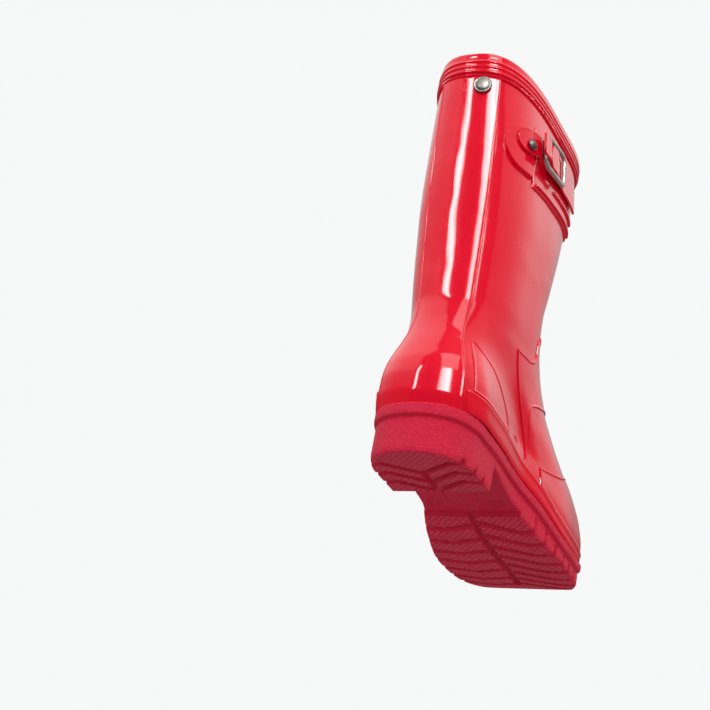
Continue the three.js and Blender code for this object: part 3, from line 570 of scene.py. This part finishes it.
def rand():
    """Strip round the foot above the sole; it stops at both edges of the back stay."""
    top = lambda u: rand_top(fold_angle(u)[0])
    mix = lambda k: (lambda u: top(u) * k)

    def sunk(d):
        return lambda u: -0.6 + (d + 0.6) * ease((fold_angle(u)[0] - stay_half(0) - 0.02) / 0.03)
    heights = [(0, 0.9), (0.05, LAYER), (0.3, LAYER), (0.6, LAYER), (0.84, LAYER), (0.90, LAYER + 0.25),
               (0.95, LAYER + 0.25), (0.985, LAYER - 0.15), (1.0, LAYER * 0.4)]
    prof = [(mix(0), -0.6)] + [(mix(k), sunk(d)) for k, d in heights] + [(mix(1.0), -0.6)]
    return closed_band("rand_round_the_foot", ["rand"], prof, n=900)


def collar():
    """Band round the top of the leg with three fine ridges."""
    prof = [(COLLAR_V, -0.3), (COLLAR_V, 0.8), (COLLAR_V + 0.012, LAYER), (COLLAR_V + 0.06, LAYER)]
    ridge = ((-0.026, 0), (-0.018, 0.25), (-0.008, 0.6), (0.0, 0.72), (0.008, 0.6), (0.018, 0.25),
             (0.026, 0))
    for middle_v in (12.70, 12.78, 12.86):
        prof += [(middle_v + a, LAYER + d) for a, d in ridge]
    prof += [(12.93, LAYER), (TOP - 0.02, LAYER), (TOP - 0.008, LAYER * 0.8), (TOP - 0.002, 0.4),
             (TOP - 0.002, -0.3)]
    level = lambda v: (lambda u: np.full(u.shape, v))
    return closed_band("ridged_collar_band", ["collar_band"], [(level(v), d) for v, d in prof])


rand()
collar()
cap_u = lambda i: 1.57 + (FULL - 3.14) * i
cap_low = lambda i: rand_top(fold_angle(cap_u(i))[0]) + 0.02
cap_high = lambda i: np.maximum(cap_top(fold_angle(cap_u(i))[0]), cap_low(i) + 0.35)
layer("moulded_toe_cap", ["toe_cap"], lambda i, j: cap_low(i) + (cap_high(i) - cap_low(i)) * j,
      lambda i, j: cap_u(i), (330, 45), (150, 40), height=THIN_LAYER, bead=THIN_BEAD)
for side, label in ((1, "outer"), (-1, "inner")):
    a0 = stay_half(2.0) + 0.10

    def counter_v(i, j):
        u = a0 + (1.12 - a0) * i
        lo = rand_top(u) + 0.02
        return lo + (np.maximum(counter_top(u), lo + 0.3) - lo) * j

    def counter_u(i, j, s=side):
        return s * np.maximum(a0 + (1.12 - a0) * i, stay_half(counter_v(i, j)) + 0.03)
    layer("heel_counter_" + label + "_side", ["heel_counter_" + label], counter_v, counter_u, (62, 36),
          (60, 50), height=THIN_LAYER, bead=THIN_BEAD)
stay_v = lambda i: (COLLAR_V - 0.015) * i
layer("long_back_stay", ["back_stay"], lambda i, j: stay_v(i),
      lambda i, j: stay_half(stay_v(i)) * (2 * j - 1), (252, 38), (150, 30), bead=0.5, bare=("i0", "i1"))
saddle_u = lambda i: 1.42 + (FULL - 2.84) * i
saddle_phi = lambda i: fold_angle(saddle_u(i))[0]
saddle_lo = lambda i: np.maximum(saddle_low(saddle_phi(i)), rand_top(saddle_phi(i)) + 0.02)
layer("ankle_saddle_layer", ["ankle_saddle"],
      lambda i, j: saddle_lo(i) + (saddle_high(saddle_phi(i)) - saddle_lo(i)) * j,
      lambda i, j: saddle_u(i), (200, 40), (150, 40), height=THIN_LAYER, bead=THIN_BEAD)


# ---------------------------------------------------------------- outsole
def flange_top(x):
    """Top of the sole's flange."""
    t = np.clip((x - 3.5) / 256.5, 0, 1)
    return 32.3 - 5 * t - sag(t)


forefoot_z = smooth_curve([0, 90, 117, 130, 150, 165, 185, 205, 225, 245, 260, 267],
                          [0, 9.4, 7.2, 4.2, 1.2, 0.2, 0, 0.5, 2.4, 6, 10.6, 13])


def ground_z(x):
    """Underside of the sole: flat heel, raised arch, forefoot turned up at the toe."""
    arch = 17 - 7.2 * np.clip((x - HEEL_LONG) / (WAIST_END - HEEL_LONG), 0, 1)
    return np.where(x < HEEL_LONG, 0.0, np.where(x < WAIST_END, arch, forefoot_z(x)))


def plan(u, inset):
    """Outline of the sole from above, moved in by inset."""
    def f(q):
        p, side = fold_angle(q)
        s = (1 - np.cos(p)) / 2
        return np.stack([LENGTH * s, middle(s) + side * half_width(p)], -1)
    t = f(u + 0.03) - f(u - 0.03)
    t /= np.linalg.norm(t, axis=-1, keepdims=True)
    return f(u) + np.stack([t[..., 1], -t[..., 0]], -1) * np.asarray(inset, float)[..., None]


def tread_lines():
    """Grooves of the forefoot and heel as bent lines, (points, width)."""
    lines = []
    for k in range(7):
        x = 127.5 + PITCH * k
        lines.append(([(x, 0), (x + 5.5, -22), (x + 1.5 - 1.6 * k, -54)], GROOVE_W))
    for k in range(8):
        x = 123.5 + 14.3 * k
        lines.append(([(x, 0), (x + 12 + 0.9 * k, 29), (x + 12.5 + 0.9 * k, 54)], GROOVE_W))
    lines.append(([(112, 0), (160, 1.5), (200, 1), (229, -3)], SPINE_W))
    for k in range(3):
        x = 34 + 13.2 * k
        for sd in (1, -1):
            lines.append(([(x, 0), (x - 14, sd * 22), (x - 9, sd * 44)], GROOVE_W))
    lines.append(([(34, 0), (HEEL_LONG + 6, 0)], SPINE_W))
    return lines


def groove_depth(x, y):
    """How deep the tread is cut at a point: 0 on a lug, GROOVE_D at the bottom of a groove."""
    deep = np.zeros(x.shape)
    for pts, width in tread_lines():
        for (ax, ay), (bx, by) in zip(pts[:-1], pts[1:]):
            dx, dy = bx - ax, by - ay
            t = np.clip(((x - ax) * dx + (y - ay) * dy) / (dx * dx + dy * dy), 0, 1)
            dist = np.hypot(x - ax - t * dx, y - ay - t * dy)
            deep = np.maximum(deep, GROOVE_D * ease((width / 2 + 0.45 - dist) / 0.8))
    return np.where((x > HEEL_LONG) & (x < WAIST_END), 0.0, deep)


def arch_marks(x, y):
    """A plain moulded frame and two rings on the underside of the arch."""
    def line(d, w=0.6):
        return 0.8 * np.exp(-(d / w) ** 2)
    bx, by = np.abs(x - 95) - 5.5, np.abs(y) - 11
    box = np.maximum(bx, by)
    rings = [np.abs(np.hypot(x - 106, y - sd * 21) - r) for sd in (1, -1) for r in (4.6, 2.6)]
    return line(box) + sum(line(r) for r in rings)


def outsole():
    """Heel block, arch and lugged forefoot in one moulding, its tread cut as a fine grid."""
    phi = np.linspace(0, math.pi, 361)
    keep = lambda x: math.acos(1 - 2 * x / LENGTH)
    cuts = [keep(HEEL_LONG - 0.04), keep(HEEL_LONG + 0.04), keep(WAIST_END - 0.04), keep(WAIST_END + 0.04)]
    phi = phi[[all(abs(q - c) > 0.0035 for c in cuts) or q in (0, math.pi) for q in phi]]
    phi = np.sort(np.concatenate([phi, cuts]))
    u = np.concatenate([phi, (FULL - phi[1:-1])[::-1]])
    n = len(u)
    edge = plan(u, np.full(n, 3.0))
    x_at = plan(u, np.zeros(n))[:, 0]
    cut = groove_depth(plan(u, np.full(n, 1.0))[:, 0], plan(u, np.full(n, 1.0))[:, 1])
    base = ground_z(x_at) + groove_depth(edge[:, 0], edge[:, 1])
    top, bead = flange_top(x_at), BEAD_HEEL + (BEAD_TOE - BEAD_HEEL) * x_at / LENGTH
    rings = []

    def ring(inset, z):
        p = plan(u, np.zeros(n) + inset)
        rings.append(np.stack([p[:, 0], p[:, 1], np.zeros(n) + z], -1))
    ring(3.2, base)
    ring(2.6, base + 0.25)
    ring(2.2, base + 0.9)
    for k in (0.14, 0.26, 0.38, 0.5, 0.62, 0.74, 0.86):
        z = base + 0.9 + (top - bead - 2.4 - base - 0.9) * k
        notch = 1.7 * (cut / GROOVE_D) * ease((base + 8.0 - z) / 2.5) * (x_at > WAIST_END)
        ring(1.75 + notch, z)
    for inset, dz in ((1.8, 2.3), (2.1, 1.7), (2.3, 1.1), (2.2, 0.6), (1.2, 0.15), (0.5, -0.1), (0.12, -0.7),
                      (0, -1.6)):
        ring(inset, top - bead - dz)
    for inset, dz in ((0, 2.4), (0, 1.6), (0.15, 0.9), (0.5, 0.35), (1.1, 0.05), (2.6, 0.0)):
        ring(inset, top - dz)
    faces = grid_faces(len(rings), n, wrap=True)
    verts = [place(np.array(rings)).reshape(-1, 3)]
    # tread: rows straight across, each point at its own depth
    m = 121
    ring0 = rings[0].copy()
    h = len(phi) - 1
    s = np.linspace(0, 1, m)
    rows = []
    for k in range(h + 1):
        a, b = ring0[k], ring0[(n - k) % n]
        p = a[None] + (b - a)[None] * s[:, None]
        xr = np.full(m, x_at[k])
        if 0 < k < h:
            inside = slice(1, m - 1)
            z = ground_z(xr) + groove_depth(p[:, 0], p[:, 1])
            z = z + arch_marks(p[:, 0], p[:, 1]) * (xr > HEEL_LONG) * (xr < WAIST_END)
            p[inside, 2] = z[inside]
        rows.append(p)
    base_i = len(verts[0])
    verts.append(place(np.array(rows)).reshape(-1, 3))
    faces += grid_faces(h + 1, m, base=base_i)
    rows = across_rows(rings[-1], 9)
    base_i += (h + 1) * m
    verts.append(place(rows).reshape(-1, 3))
    faces += grid_faces(h + 1, 9, base=base_i)
    o = piece("lugged_rubber_outsole", np.concatenate(verts), faces, ["outsole"], SOLE)
    return face_out(o, weld=True)


outsole()

# ---------------------------------------------------------------- strap, tab and panel on the outer side
def on_leg(name, node_name, x_of, z_of, size, height, count):
    """A moulded patch on the outer side of the leg, its outline given by x and z."""
    cache = {}

    def both(i, j):
        key = (i.shape, float(i.sum()), float(j.sum()))
        if key not in cache:
            cache[key] = under(x_of(i, j), z_of(i, j))
        return cache[key]
    return layer(name, [node_name], lambda i, j: both(i, j)[0], lambda i, j: both(i, j)[1], size, count,
                 height=height, bead=0.0)


def tab_half(i):
    """Half height of the tab, round at its back end."""
    r, reach = TAB_HALF, TAB_LONG * i * 1.36
    return np.where(reach < r, np.sqrt(np.maximum(r * r - (r - reach) ** 2, 4.0)), r)


def low_edge(x):
    """Lower edge of the panel, rising a little towards the front."""
    return 214 + (x - 54) * 0.12


def rib(name, back, long, above, count):
    """A raised rib along the panel, above its lower edge."""
    x_of = lambda i: back + long * i
    on_leg(name, "gusset_panel", lambda i, j: x_of(i), lambda i, j: low_edge(x_of(i)) + above + RIB_W * j,
           (long, RIB_W), LAYER + RIB_HIGH, count)


on_leg("round_strap_tab", "strap_tab", lambda i, j: TAB_BACK + TAB_LONG * i ** 1.3,
       lambda i, j: TAB_Z + tab_half(i ** 1.3) * (2 * j - 1), (27, 34), TAB_T, (40, 40))
panel_x = lambda i: PANEL_BACK + PANEL_LONG * i
on_leg("gusset_panel_sheet", "gusset_panel", lambda i, j: panel_x(i),
       lambda i, j: low_edge(panel_x(i)) + (PANEL_TOP - low_edge(panel_x(i))) * j,
       (PANEL_LONG, 48), LAYER, (60, 30))
rib("gusset_long_rib", 56, 83, 1.8, (60, 7))
rib("gusset_short_rib", 86, 53, 11, (50, 7))

# plane of the buckle: middle, along, up and out
v0, u0 = under(FRAME_X, FRAME_Z)
OUT = skin_normal(v0, u0)
MID = off_skin(v0, u0, FRAME_OUT)
turn = math.radians(FRAME_TILT)
ALONG = np.array([math.cos(turn), 0, math.sin(turn)])
ALONG = ALONG - OUT * ALONG.dot(OUT)
ALONG /= np.linalg.norm(ALONG)
UP = np.cross(OUT, ALONG)
UP = UP / np.linalg.norm(UP) * (1 if UP[2] > 0 else -1)


def in_frame(a, b, n=0.0):
    """Points a along the buckle, b up it and n out of its plane."""
    a, b, n = np.broadcast_arrays(np.asarray(a, float), np.asarray(b, float), np.asarray(n, float))
    return MID + a[..., None] * ALONG + b[..., None] * UP + n[..., None] * OUT


def skin_at(a):
    """Height of the skin over the buckle's plane, a along it (negative is below)."""
    v, u = under(FRAME_X + a * math.cos(turn), FRAME_Z + a * math.sin(turn))
    return float((skin(v, u) - MID).dot(OUT))


def through(points, per=8):
    """A smooth line through points (Catmull-Rom)."""
    p = np.array(points, float)
    p = np.concatenate([[2 * p[0] - p[1]], p, [2 * p[-1] - p[-2]]])
    out = []
    for i in range(1, len(p) - 2):
        for t in np.arange(per) / per:
            out.append(0.5 * (2 * p[i] + (p[i + 1] - p[i - 1]) * t
                              + (2 * p[i - 1] - 5 * p[i] + 4 * p[i + 1] - p[i + 2]) * t * t
                              + (3 * p[i] - p[i - 1] - 3 * p[i + 1] + p[i + 2]) * t ** 3))
    out.append(p[-2])
    return np.array(out)


def strap(name, node_name, path, ends=(0, 0)):
    """A strap of moulded rubber along path (along, height, narrowed each side), with soft edges and
    a raised hem line down each side.  ends rounds the first and last few millimetres."""
    q = through([p if len(p) == 3 else (*p, 0.0) for p in path])
    narrow, q = q[:, 2], q[:, :2]
    d = np.gradient(q, axis=0)
    d /= np.linalg.norm(d, axis=-1, keepdims=True)
    nrm = np.stack([-d[:, 1], d[:, 0]], -1)
    run = np.concatenate([[0], np.cumsum(np.linalg.norm(np.diff(q, axis=0), axis=-1))])
    w, t = STRAP_W / 2, STRAP_T / 2
    top = [(-w, 0.0), (-w + 0.12, 0.6), (-w + 0.5, 0.95), (-w + 1.2, 1.08), (-w + 1.9, 0.92),
           (-w + 2.4, 0.86), (-w / 2, 0.93), (0, 0.96)]
    prof = top + [(-a, b) for a, b in top[-2::-1]]
    prof = prof + [(a, -min(b, 0.95)) for a, b in prof[-2:0:-1]]
    rings = []
    for k in range(len(q)):
        room = 1.0
        for end, far in ((ends[0], run[k]), (ends[1], run[-1] - run[k])):
            if end and far < end:
                room = min(room, math.sqrt(max(1 - (1 - far / end) ** 2, 0.02)))
        room *= 1 - narrow[k] / w
        rings.append([in_frame(q[k, 0] + nrm[k, 0] * b * t, a * room, q[k, 1] + nrm[k, 1] * b * t)
                      for a, b in prof])
    rings = np.array(rings)
    m = len(prof)
    verts, faces = place(rings).reshape(-1, 3), grid_faces(len(rings), m, wrap=True)
    faces += [list(range(m)), list(range((len(rings) - 1) * m, len(rings) * m))]
    return face_out(piece(name, verts, faces, [node_name], GLOSS))


HINGE = -(FRAME_L / 2 - BAR_D / 2)
FRONT_BAR = FRAME_L / 2 - BAR_D / 2
WRAP = BAR_D / 2 + 0.35 + STRAP_T / 2
on_tab = lambda a: (a, skin_at(a) + TAB_T + 0.6 + STRAP_T / 2)
on_panel = lambda a: (a, skin_at(a) + 1.1 + 0.9 + STRAP_T / 2)
fold = [(HINGE + WRAP * math.cos(t), WRAP * math.sin(t), STRAP_NECK)
        for t in np.radians(np.linspace(-100, 100, 9))]
rear_end = (RIVET_X - FRAME_X) / math.cos(turn) - STRAP_END
rear_on, rear_off = rear_end + 4.5, HINGE - 11.5
below_bar = [on_tab(a) for a in (rear_end, rear_on, (rear_on + rear_off) / 2, rear_off)]
below_bar.append((HINGE - 5, -WRAP * 0.98, STRAP_NECK))
above_bar = [(HINGE - 5, WRAP * 0.9, STRAP_NECK), (HINGE - 9.5, 1.0 + STRAP_T, STRAP_NECK)]
strap("riveted_rear_strap", "strap_rear", below_bar + fold + above_bar, ends=(9, 0))
under_bar = (FRONT_BAR + 2, -BAR_D / 2 - STRAP_T / 2 - 0.5)
strap("front_strap", "strap_front", [on_panel(a) for a in (60, 52, 44, 36, 28)]
      + [under_bar, (FRONT_BAR - 5, -2.2), (4, 0.2), (-6, 0.6), (-9, 0.6)], ends=(0, 4))


def buckle():
    """Die-cast rounded rectangle, its bar a soft-cornered square that is worn on the edges."""
    r, a, b = FRAME_R, FRAME_L / 2 - BAR_D / 2, FRAME_H / 2 - BAR_D / 2
    pts = []
    for sx, sy, t0 in ((1, 1, 0), (-1, 1, 90), (-1, -1, 180), (1, -1, 270)):
        for t in np.radians(t0 + np.linspace(0, 90, 10)):
            pts.append((sx * (a - r) + r * math.cos(t), sy * (b - r) + r * math.sin(t)))
    dense = []
    for k in range(len(pts)):
        p, q = np.array(pts[k]), np.array(pts[(k + 1) % len(pts)])
        steps = max(1, int(np.linalg.norm(q - p) / 1.2))
        dense += [p + (q - p) * t / steps for t in range(steps)]
    dense = np.array(dense)
    tan = np.roll(dense, -1, 0) - np.roll(dense, 1, 0)
    tan /= np.linalg.norm(tan, axis=-1, keepdims=True)
    sec = [(np.sign(math.cos(t)) * abs(math.cos(t)) ** 0.75, np.sign(math.sin(t)) * abs(math.sin(t)) ** 0.75)
           for t in np.arange(20) / 20 * FULL]
    rings = np.array([[in_frame(p[0] + d[1] * c * BAR_D / 2, p[1] - d[0] * c * BAR_D / 2, s * BAR_D / 2)
                       for c, s in sec] for p, d in zip(dense, tan)])
    verts = place(rings).reshape(-1, 3)
    faces = grid_faces(len(rings), 20, wrap=True)
    e = (len(rings) - 1) * 20
    faces += [[e + c, e + (c + 1) % 20, (c + 1) % 20, c] for c in range(20)]
    o = piece("cast_buckle_frame", verts, faces, ["buckle_frame"], NICKEL, body="buckle")
    return face_out(o)


buckle()


def turned(name, nodes, centre, axis, profile, seg=48):
    """A turned metal piece: profile of (radius, height) along axis."""
    axis = np.array(axis) / np.linalg.norm(axis)
    side = np.cross(axis, [0, 0, 1.0] if abs(axis[2]) < 0.9 else [1.0, 0, 0])
    side /= np.linalg.norm(side)
    other = np.cross(axis, side)
    verts = []
    for r, h in profile:
        for k in range(seg):
            t = FULL * k / seg
            verts.append(centre + axis * h + (side * math.cos(t) + other * math.sin(t)) * r)
    faces = grid_faces(len(profile), seg, wrap=True)
    faces += [list(range(seg)), list(range((len(profile) - 1) * seg, len(profile) * seg))]
    return face_out(piece(name, place(np.array(verts)), faces, nodes, PEWTER))


def back_station(z):
    """Station of the back of the leg at height z."""
    a, b = 6.0, float(TOP)
    for _ in range(40):
        m = (a + b) / 2
        a, b = (m, b) if skin(m, BADGE_U)[2] < z else (a, m)
    return (a + b) / 2


def cap_profile(lift, d, h):
    """A dome with a raised rim, d across and h high, its foot lift above the skin."""
    shape = [(0.9, 0), (1, 0.15), (1, 0.38), (0.96, 0.55), (0.88, 0.62), (0.84, 0.52), (0.78, 0.52),
             (0.74, 0.66), (0.5, 0.86), (0.25, 0.97)]
    return [(0.05, lift)] + [(d / 2 * r, lift + up * h) for r, up in shape] + [(0.05, lift + h)]


def post_profile(lift, inner):
    """A post through the leg with a flat head inside it."""
    head = [(0.05, -1.0), (3.6, -1.0), (4.0, -0.8), (4.0, -0.2), (3.7, 0), (1.5, 0)]
    return [(r, inner + up) for r, up in head] + [(1.5, lift - 0.3), (0.05, lift - 0.3)]


rivet_v, rivet_u = under(RIVET_X, RIVET_Z)
spot, away = skin(rivet_v, rivet_u), skin_normal(rivet_v, rivet_u)
turned("strap_rivet_dome", ["strap_rivet_cap"], spot, away, cap_profile(5.2, RIVET_D, 2.2))
turned("strap_rivet_shank", ["strap_rivet_post"], spot, away, post_profile(5.2, -4.9))
badge_v = back_station(skin(COLLAR_V, BADGE_U)[2] - BADGE_DROP - BADGE_D / 2)
spot, away = skin(badge_v, BADGE_U), skin_normal(badge_v, BADGE_U)
turned("back_stud_dome", ["badge_stud_cap"], spot, away, cap_profile(1.7, BADGE_D, 2.6))
turned("back_stud_shank", ["badge_stud_post"], spot, away, post_profile(1.7, -5.2))

# ---------------------------------------------------------------- stage, lights and camera
def floor():
    """Plain pale studio floor, seen from above only, so that the boot can be looked at from below."""
    m, t, _ = new_material("pale_studio_floor")
    below = node(t, "ShaderNodeNewGeometry").outputs["Backfacing"]
    pale = node(t, "ShaderNodeBsdfDiffuse")
    pale.inputs["Color"].default_value = linear("#C9CACB")
    clear = node(t, "ShaderNodeBsdfTransparent")
    mixed = choose(t, below, pale, clear)
    node(t, "ShaderNodeOutputMaterial", links=[("Surface", mixed.outputs[0])])
    mesh = bpy.data.meshes.new("studio_floor")
    far, z = 6, -0.0002
    mesh.from_pydata([(-far, -far, z), (far, -far, z), (far, far, z), (-far, far, z)], [], [[0, 1, 2, 3]])
    mesh.update()
    o = bpy.data.objects.new("studio_floor", mesh)
    bpy.context.scene.collection.objects.link(o)
    o.data.materials.append(m)
    o.visible_shadow = o.visible_diffuse = o.visible_glossy = False


def soft_light(name, toward, distance, size, power):
    """A square softbox in direction toward from the middle of the boot."""
    data = bpy.data.lights.new(name, "AREA")
    data.shape, data.size, data.size_y, data.energy = "RECTANGLE", size, size, power
    o = bpy.data.objects.new(name, data)
    bpy.context.scene.collection.objects.link(o)
    d = Vector(toward).normalized()
    o.location = Vector((0, -0.08, 0.15)) + d * distance
    o.rotation_mode = "QUATERNION"
    o.rotation_quaternion = d.to_track_quat("Z", "Y")


def world():
    """White surround: pale behind the boot, bright as fill light, and dim in reflections so that
    the lacquer mirrors only the cards and strip lights."""
    w = bpy.data.worlds.new("studio_white")
    bpy.context.scene.world = w
    w.use_nodes = True
    t = w.node_tree
    t.nodes.clear()

    def greys_round(share, stops):
        """Greys round the horizon; stops are (degrees, grey)."""
        n = node(t, "ShaderNodeValToRGB", links=[("Fac", share)])
        while len(n.color_ramp.elements) < len(stops):
            n.color_ramp.elements.new(0.5)
        for stop, (degrees, grey) in zip(n.color_ramp.elements, stops):
            stop.position, stop.color = (degrees + 180) / 360, (grey, grey, grey, 1)
        return n.outputs["Color"]

    path = node(t, "ShaderNodeLightPath")
    way = node(t, "ShaderNodeTexCoord").outputs["Generated"]
    way = node(t, "ShaderNodeSeparateXYZ", links=[("Vector", way)])
    up = way.outputs["Z"]
    seen = node(t, "ShaderNodeBackground", Strength=1.0)
    seen.inputs["Color"].default_value = linear("#F7F8F8")
    # fill: bright from above, dim from under the boot
    from_height = remap(t, up, -0.7, 0.5, 0.56, 1.42, smooth=True)
    fill = node(t, "ShaderNodeBackground", links=[("Strength", from_height)])
    fill.inputs["Color"].default_value = linear("#FFFFFF")
    # mirrored: white cards to the inner side and to the outer side and front, dark between them
    turn = calc(t, "ARCTAN2", calc(t, "MULTIPLY", way.outputs["X"], -1.0), way.outputs["Y"])
    share = remap(t, turn, -math.pi, math.pi)
    cards = greys_round(share, [(-180, 0.5), (-75, 0.75), (-32, 0.62), (-29, 0.01), (68, 0.01), (72, 0.36),
                                (115, 0.5), (150, 0.85), (180, 0.5)])
    card_light = node(t, "ShaderNodeBackground", links=[
        ("Color", cards), ("Strength", remap(t, up, 0.28, 0.6, 0.1, 1.3, smooth=True))])
    # two tall strip lights, seen only in reflections and only at the height of the leg
    strips = greys_round(share, [(-26, 0), (-25, 0.9), (-23, 0.9), (-22, 0), (11, 0), (16, 0.5), (34, 1),
                                 (40, 0)])
    window = calc(t, "MULTIPLY", remap(t, up, 0.12, 0.16, 0, 1, smooth=True),
                  remap(t, up, 0.60, 0.66, 24, 0, smooth=True))
    strip_light = node(t, "ShaderNodeBackground", links=[("Color", strips), ("Strength", window)])
    both_lights = [(0, card_light.outputs[0]), (1, strip_light.outputs[0])]
    mirrored = node(t, "ShaderNodeAddShader", links=both_lights)
    lit = choose(t, path.outputs["Is Glossy Ray"], fill, mirrored)
    both = choose(t, path.outputs["Is Camera Ray"], lit, seen)
    node(t, "ShaderNodeOutputWorld", links=[("Surface", both.outputs[0])])


def aim_camera(where, heading, pitch, roll, lens):
    """Camera at where; heading is degrees from the toe's direction towards +X, pitch upwards."""
    data = bpy.data.cameras.new("camera")
    data.lens, data.sensor_width = lens, 36.0
    o = bpy.data.objects.new("camera", data)
    bpy.context.scene.collection.objects.link(o)
    h, p, r = (math.radians(a) for a in (heading, pitch, roll))
    ahead = Vector((math.sin(h) * math.cos(p), -math.cos(h) * math.cos(p), math.sin(p)))
    level = ahead.cross(Vector((0, 0, 1))).normalized()
    rise = level.cross(ahead)
    right = level * math.cos(r) + rise * math.sin(r)
    turned_up = rise * math.cos(r) - level * math.sin(r)
    axes = Matrix((right, turned_up, -ahead)).transposed().to_4x4()
    o.matrix_world = Matrix.Translation(where) @ axes
    bpy.context.scene.camera = o


floor()
world()
bpy.context.scene.view_settings.view_transform = "Standard"
soft_light("high_soft_key", toward=(-0.5, 0.9, 1.3), distance=1.8, size=1.0, power=7)
aim_camera((-0.42811, 0.91865, -0.41758), heading=27.6381, pitch=25.3636, roll=11.1239, lens=92.55)
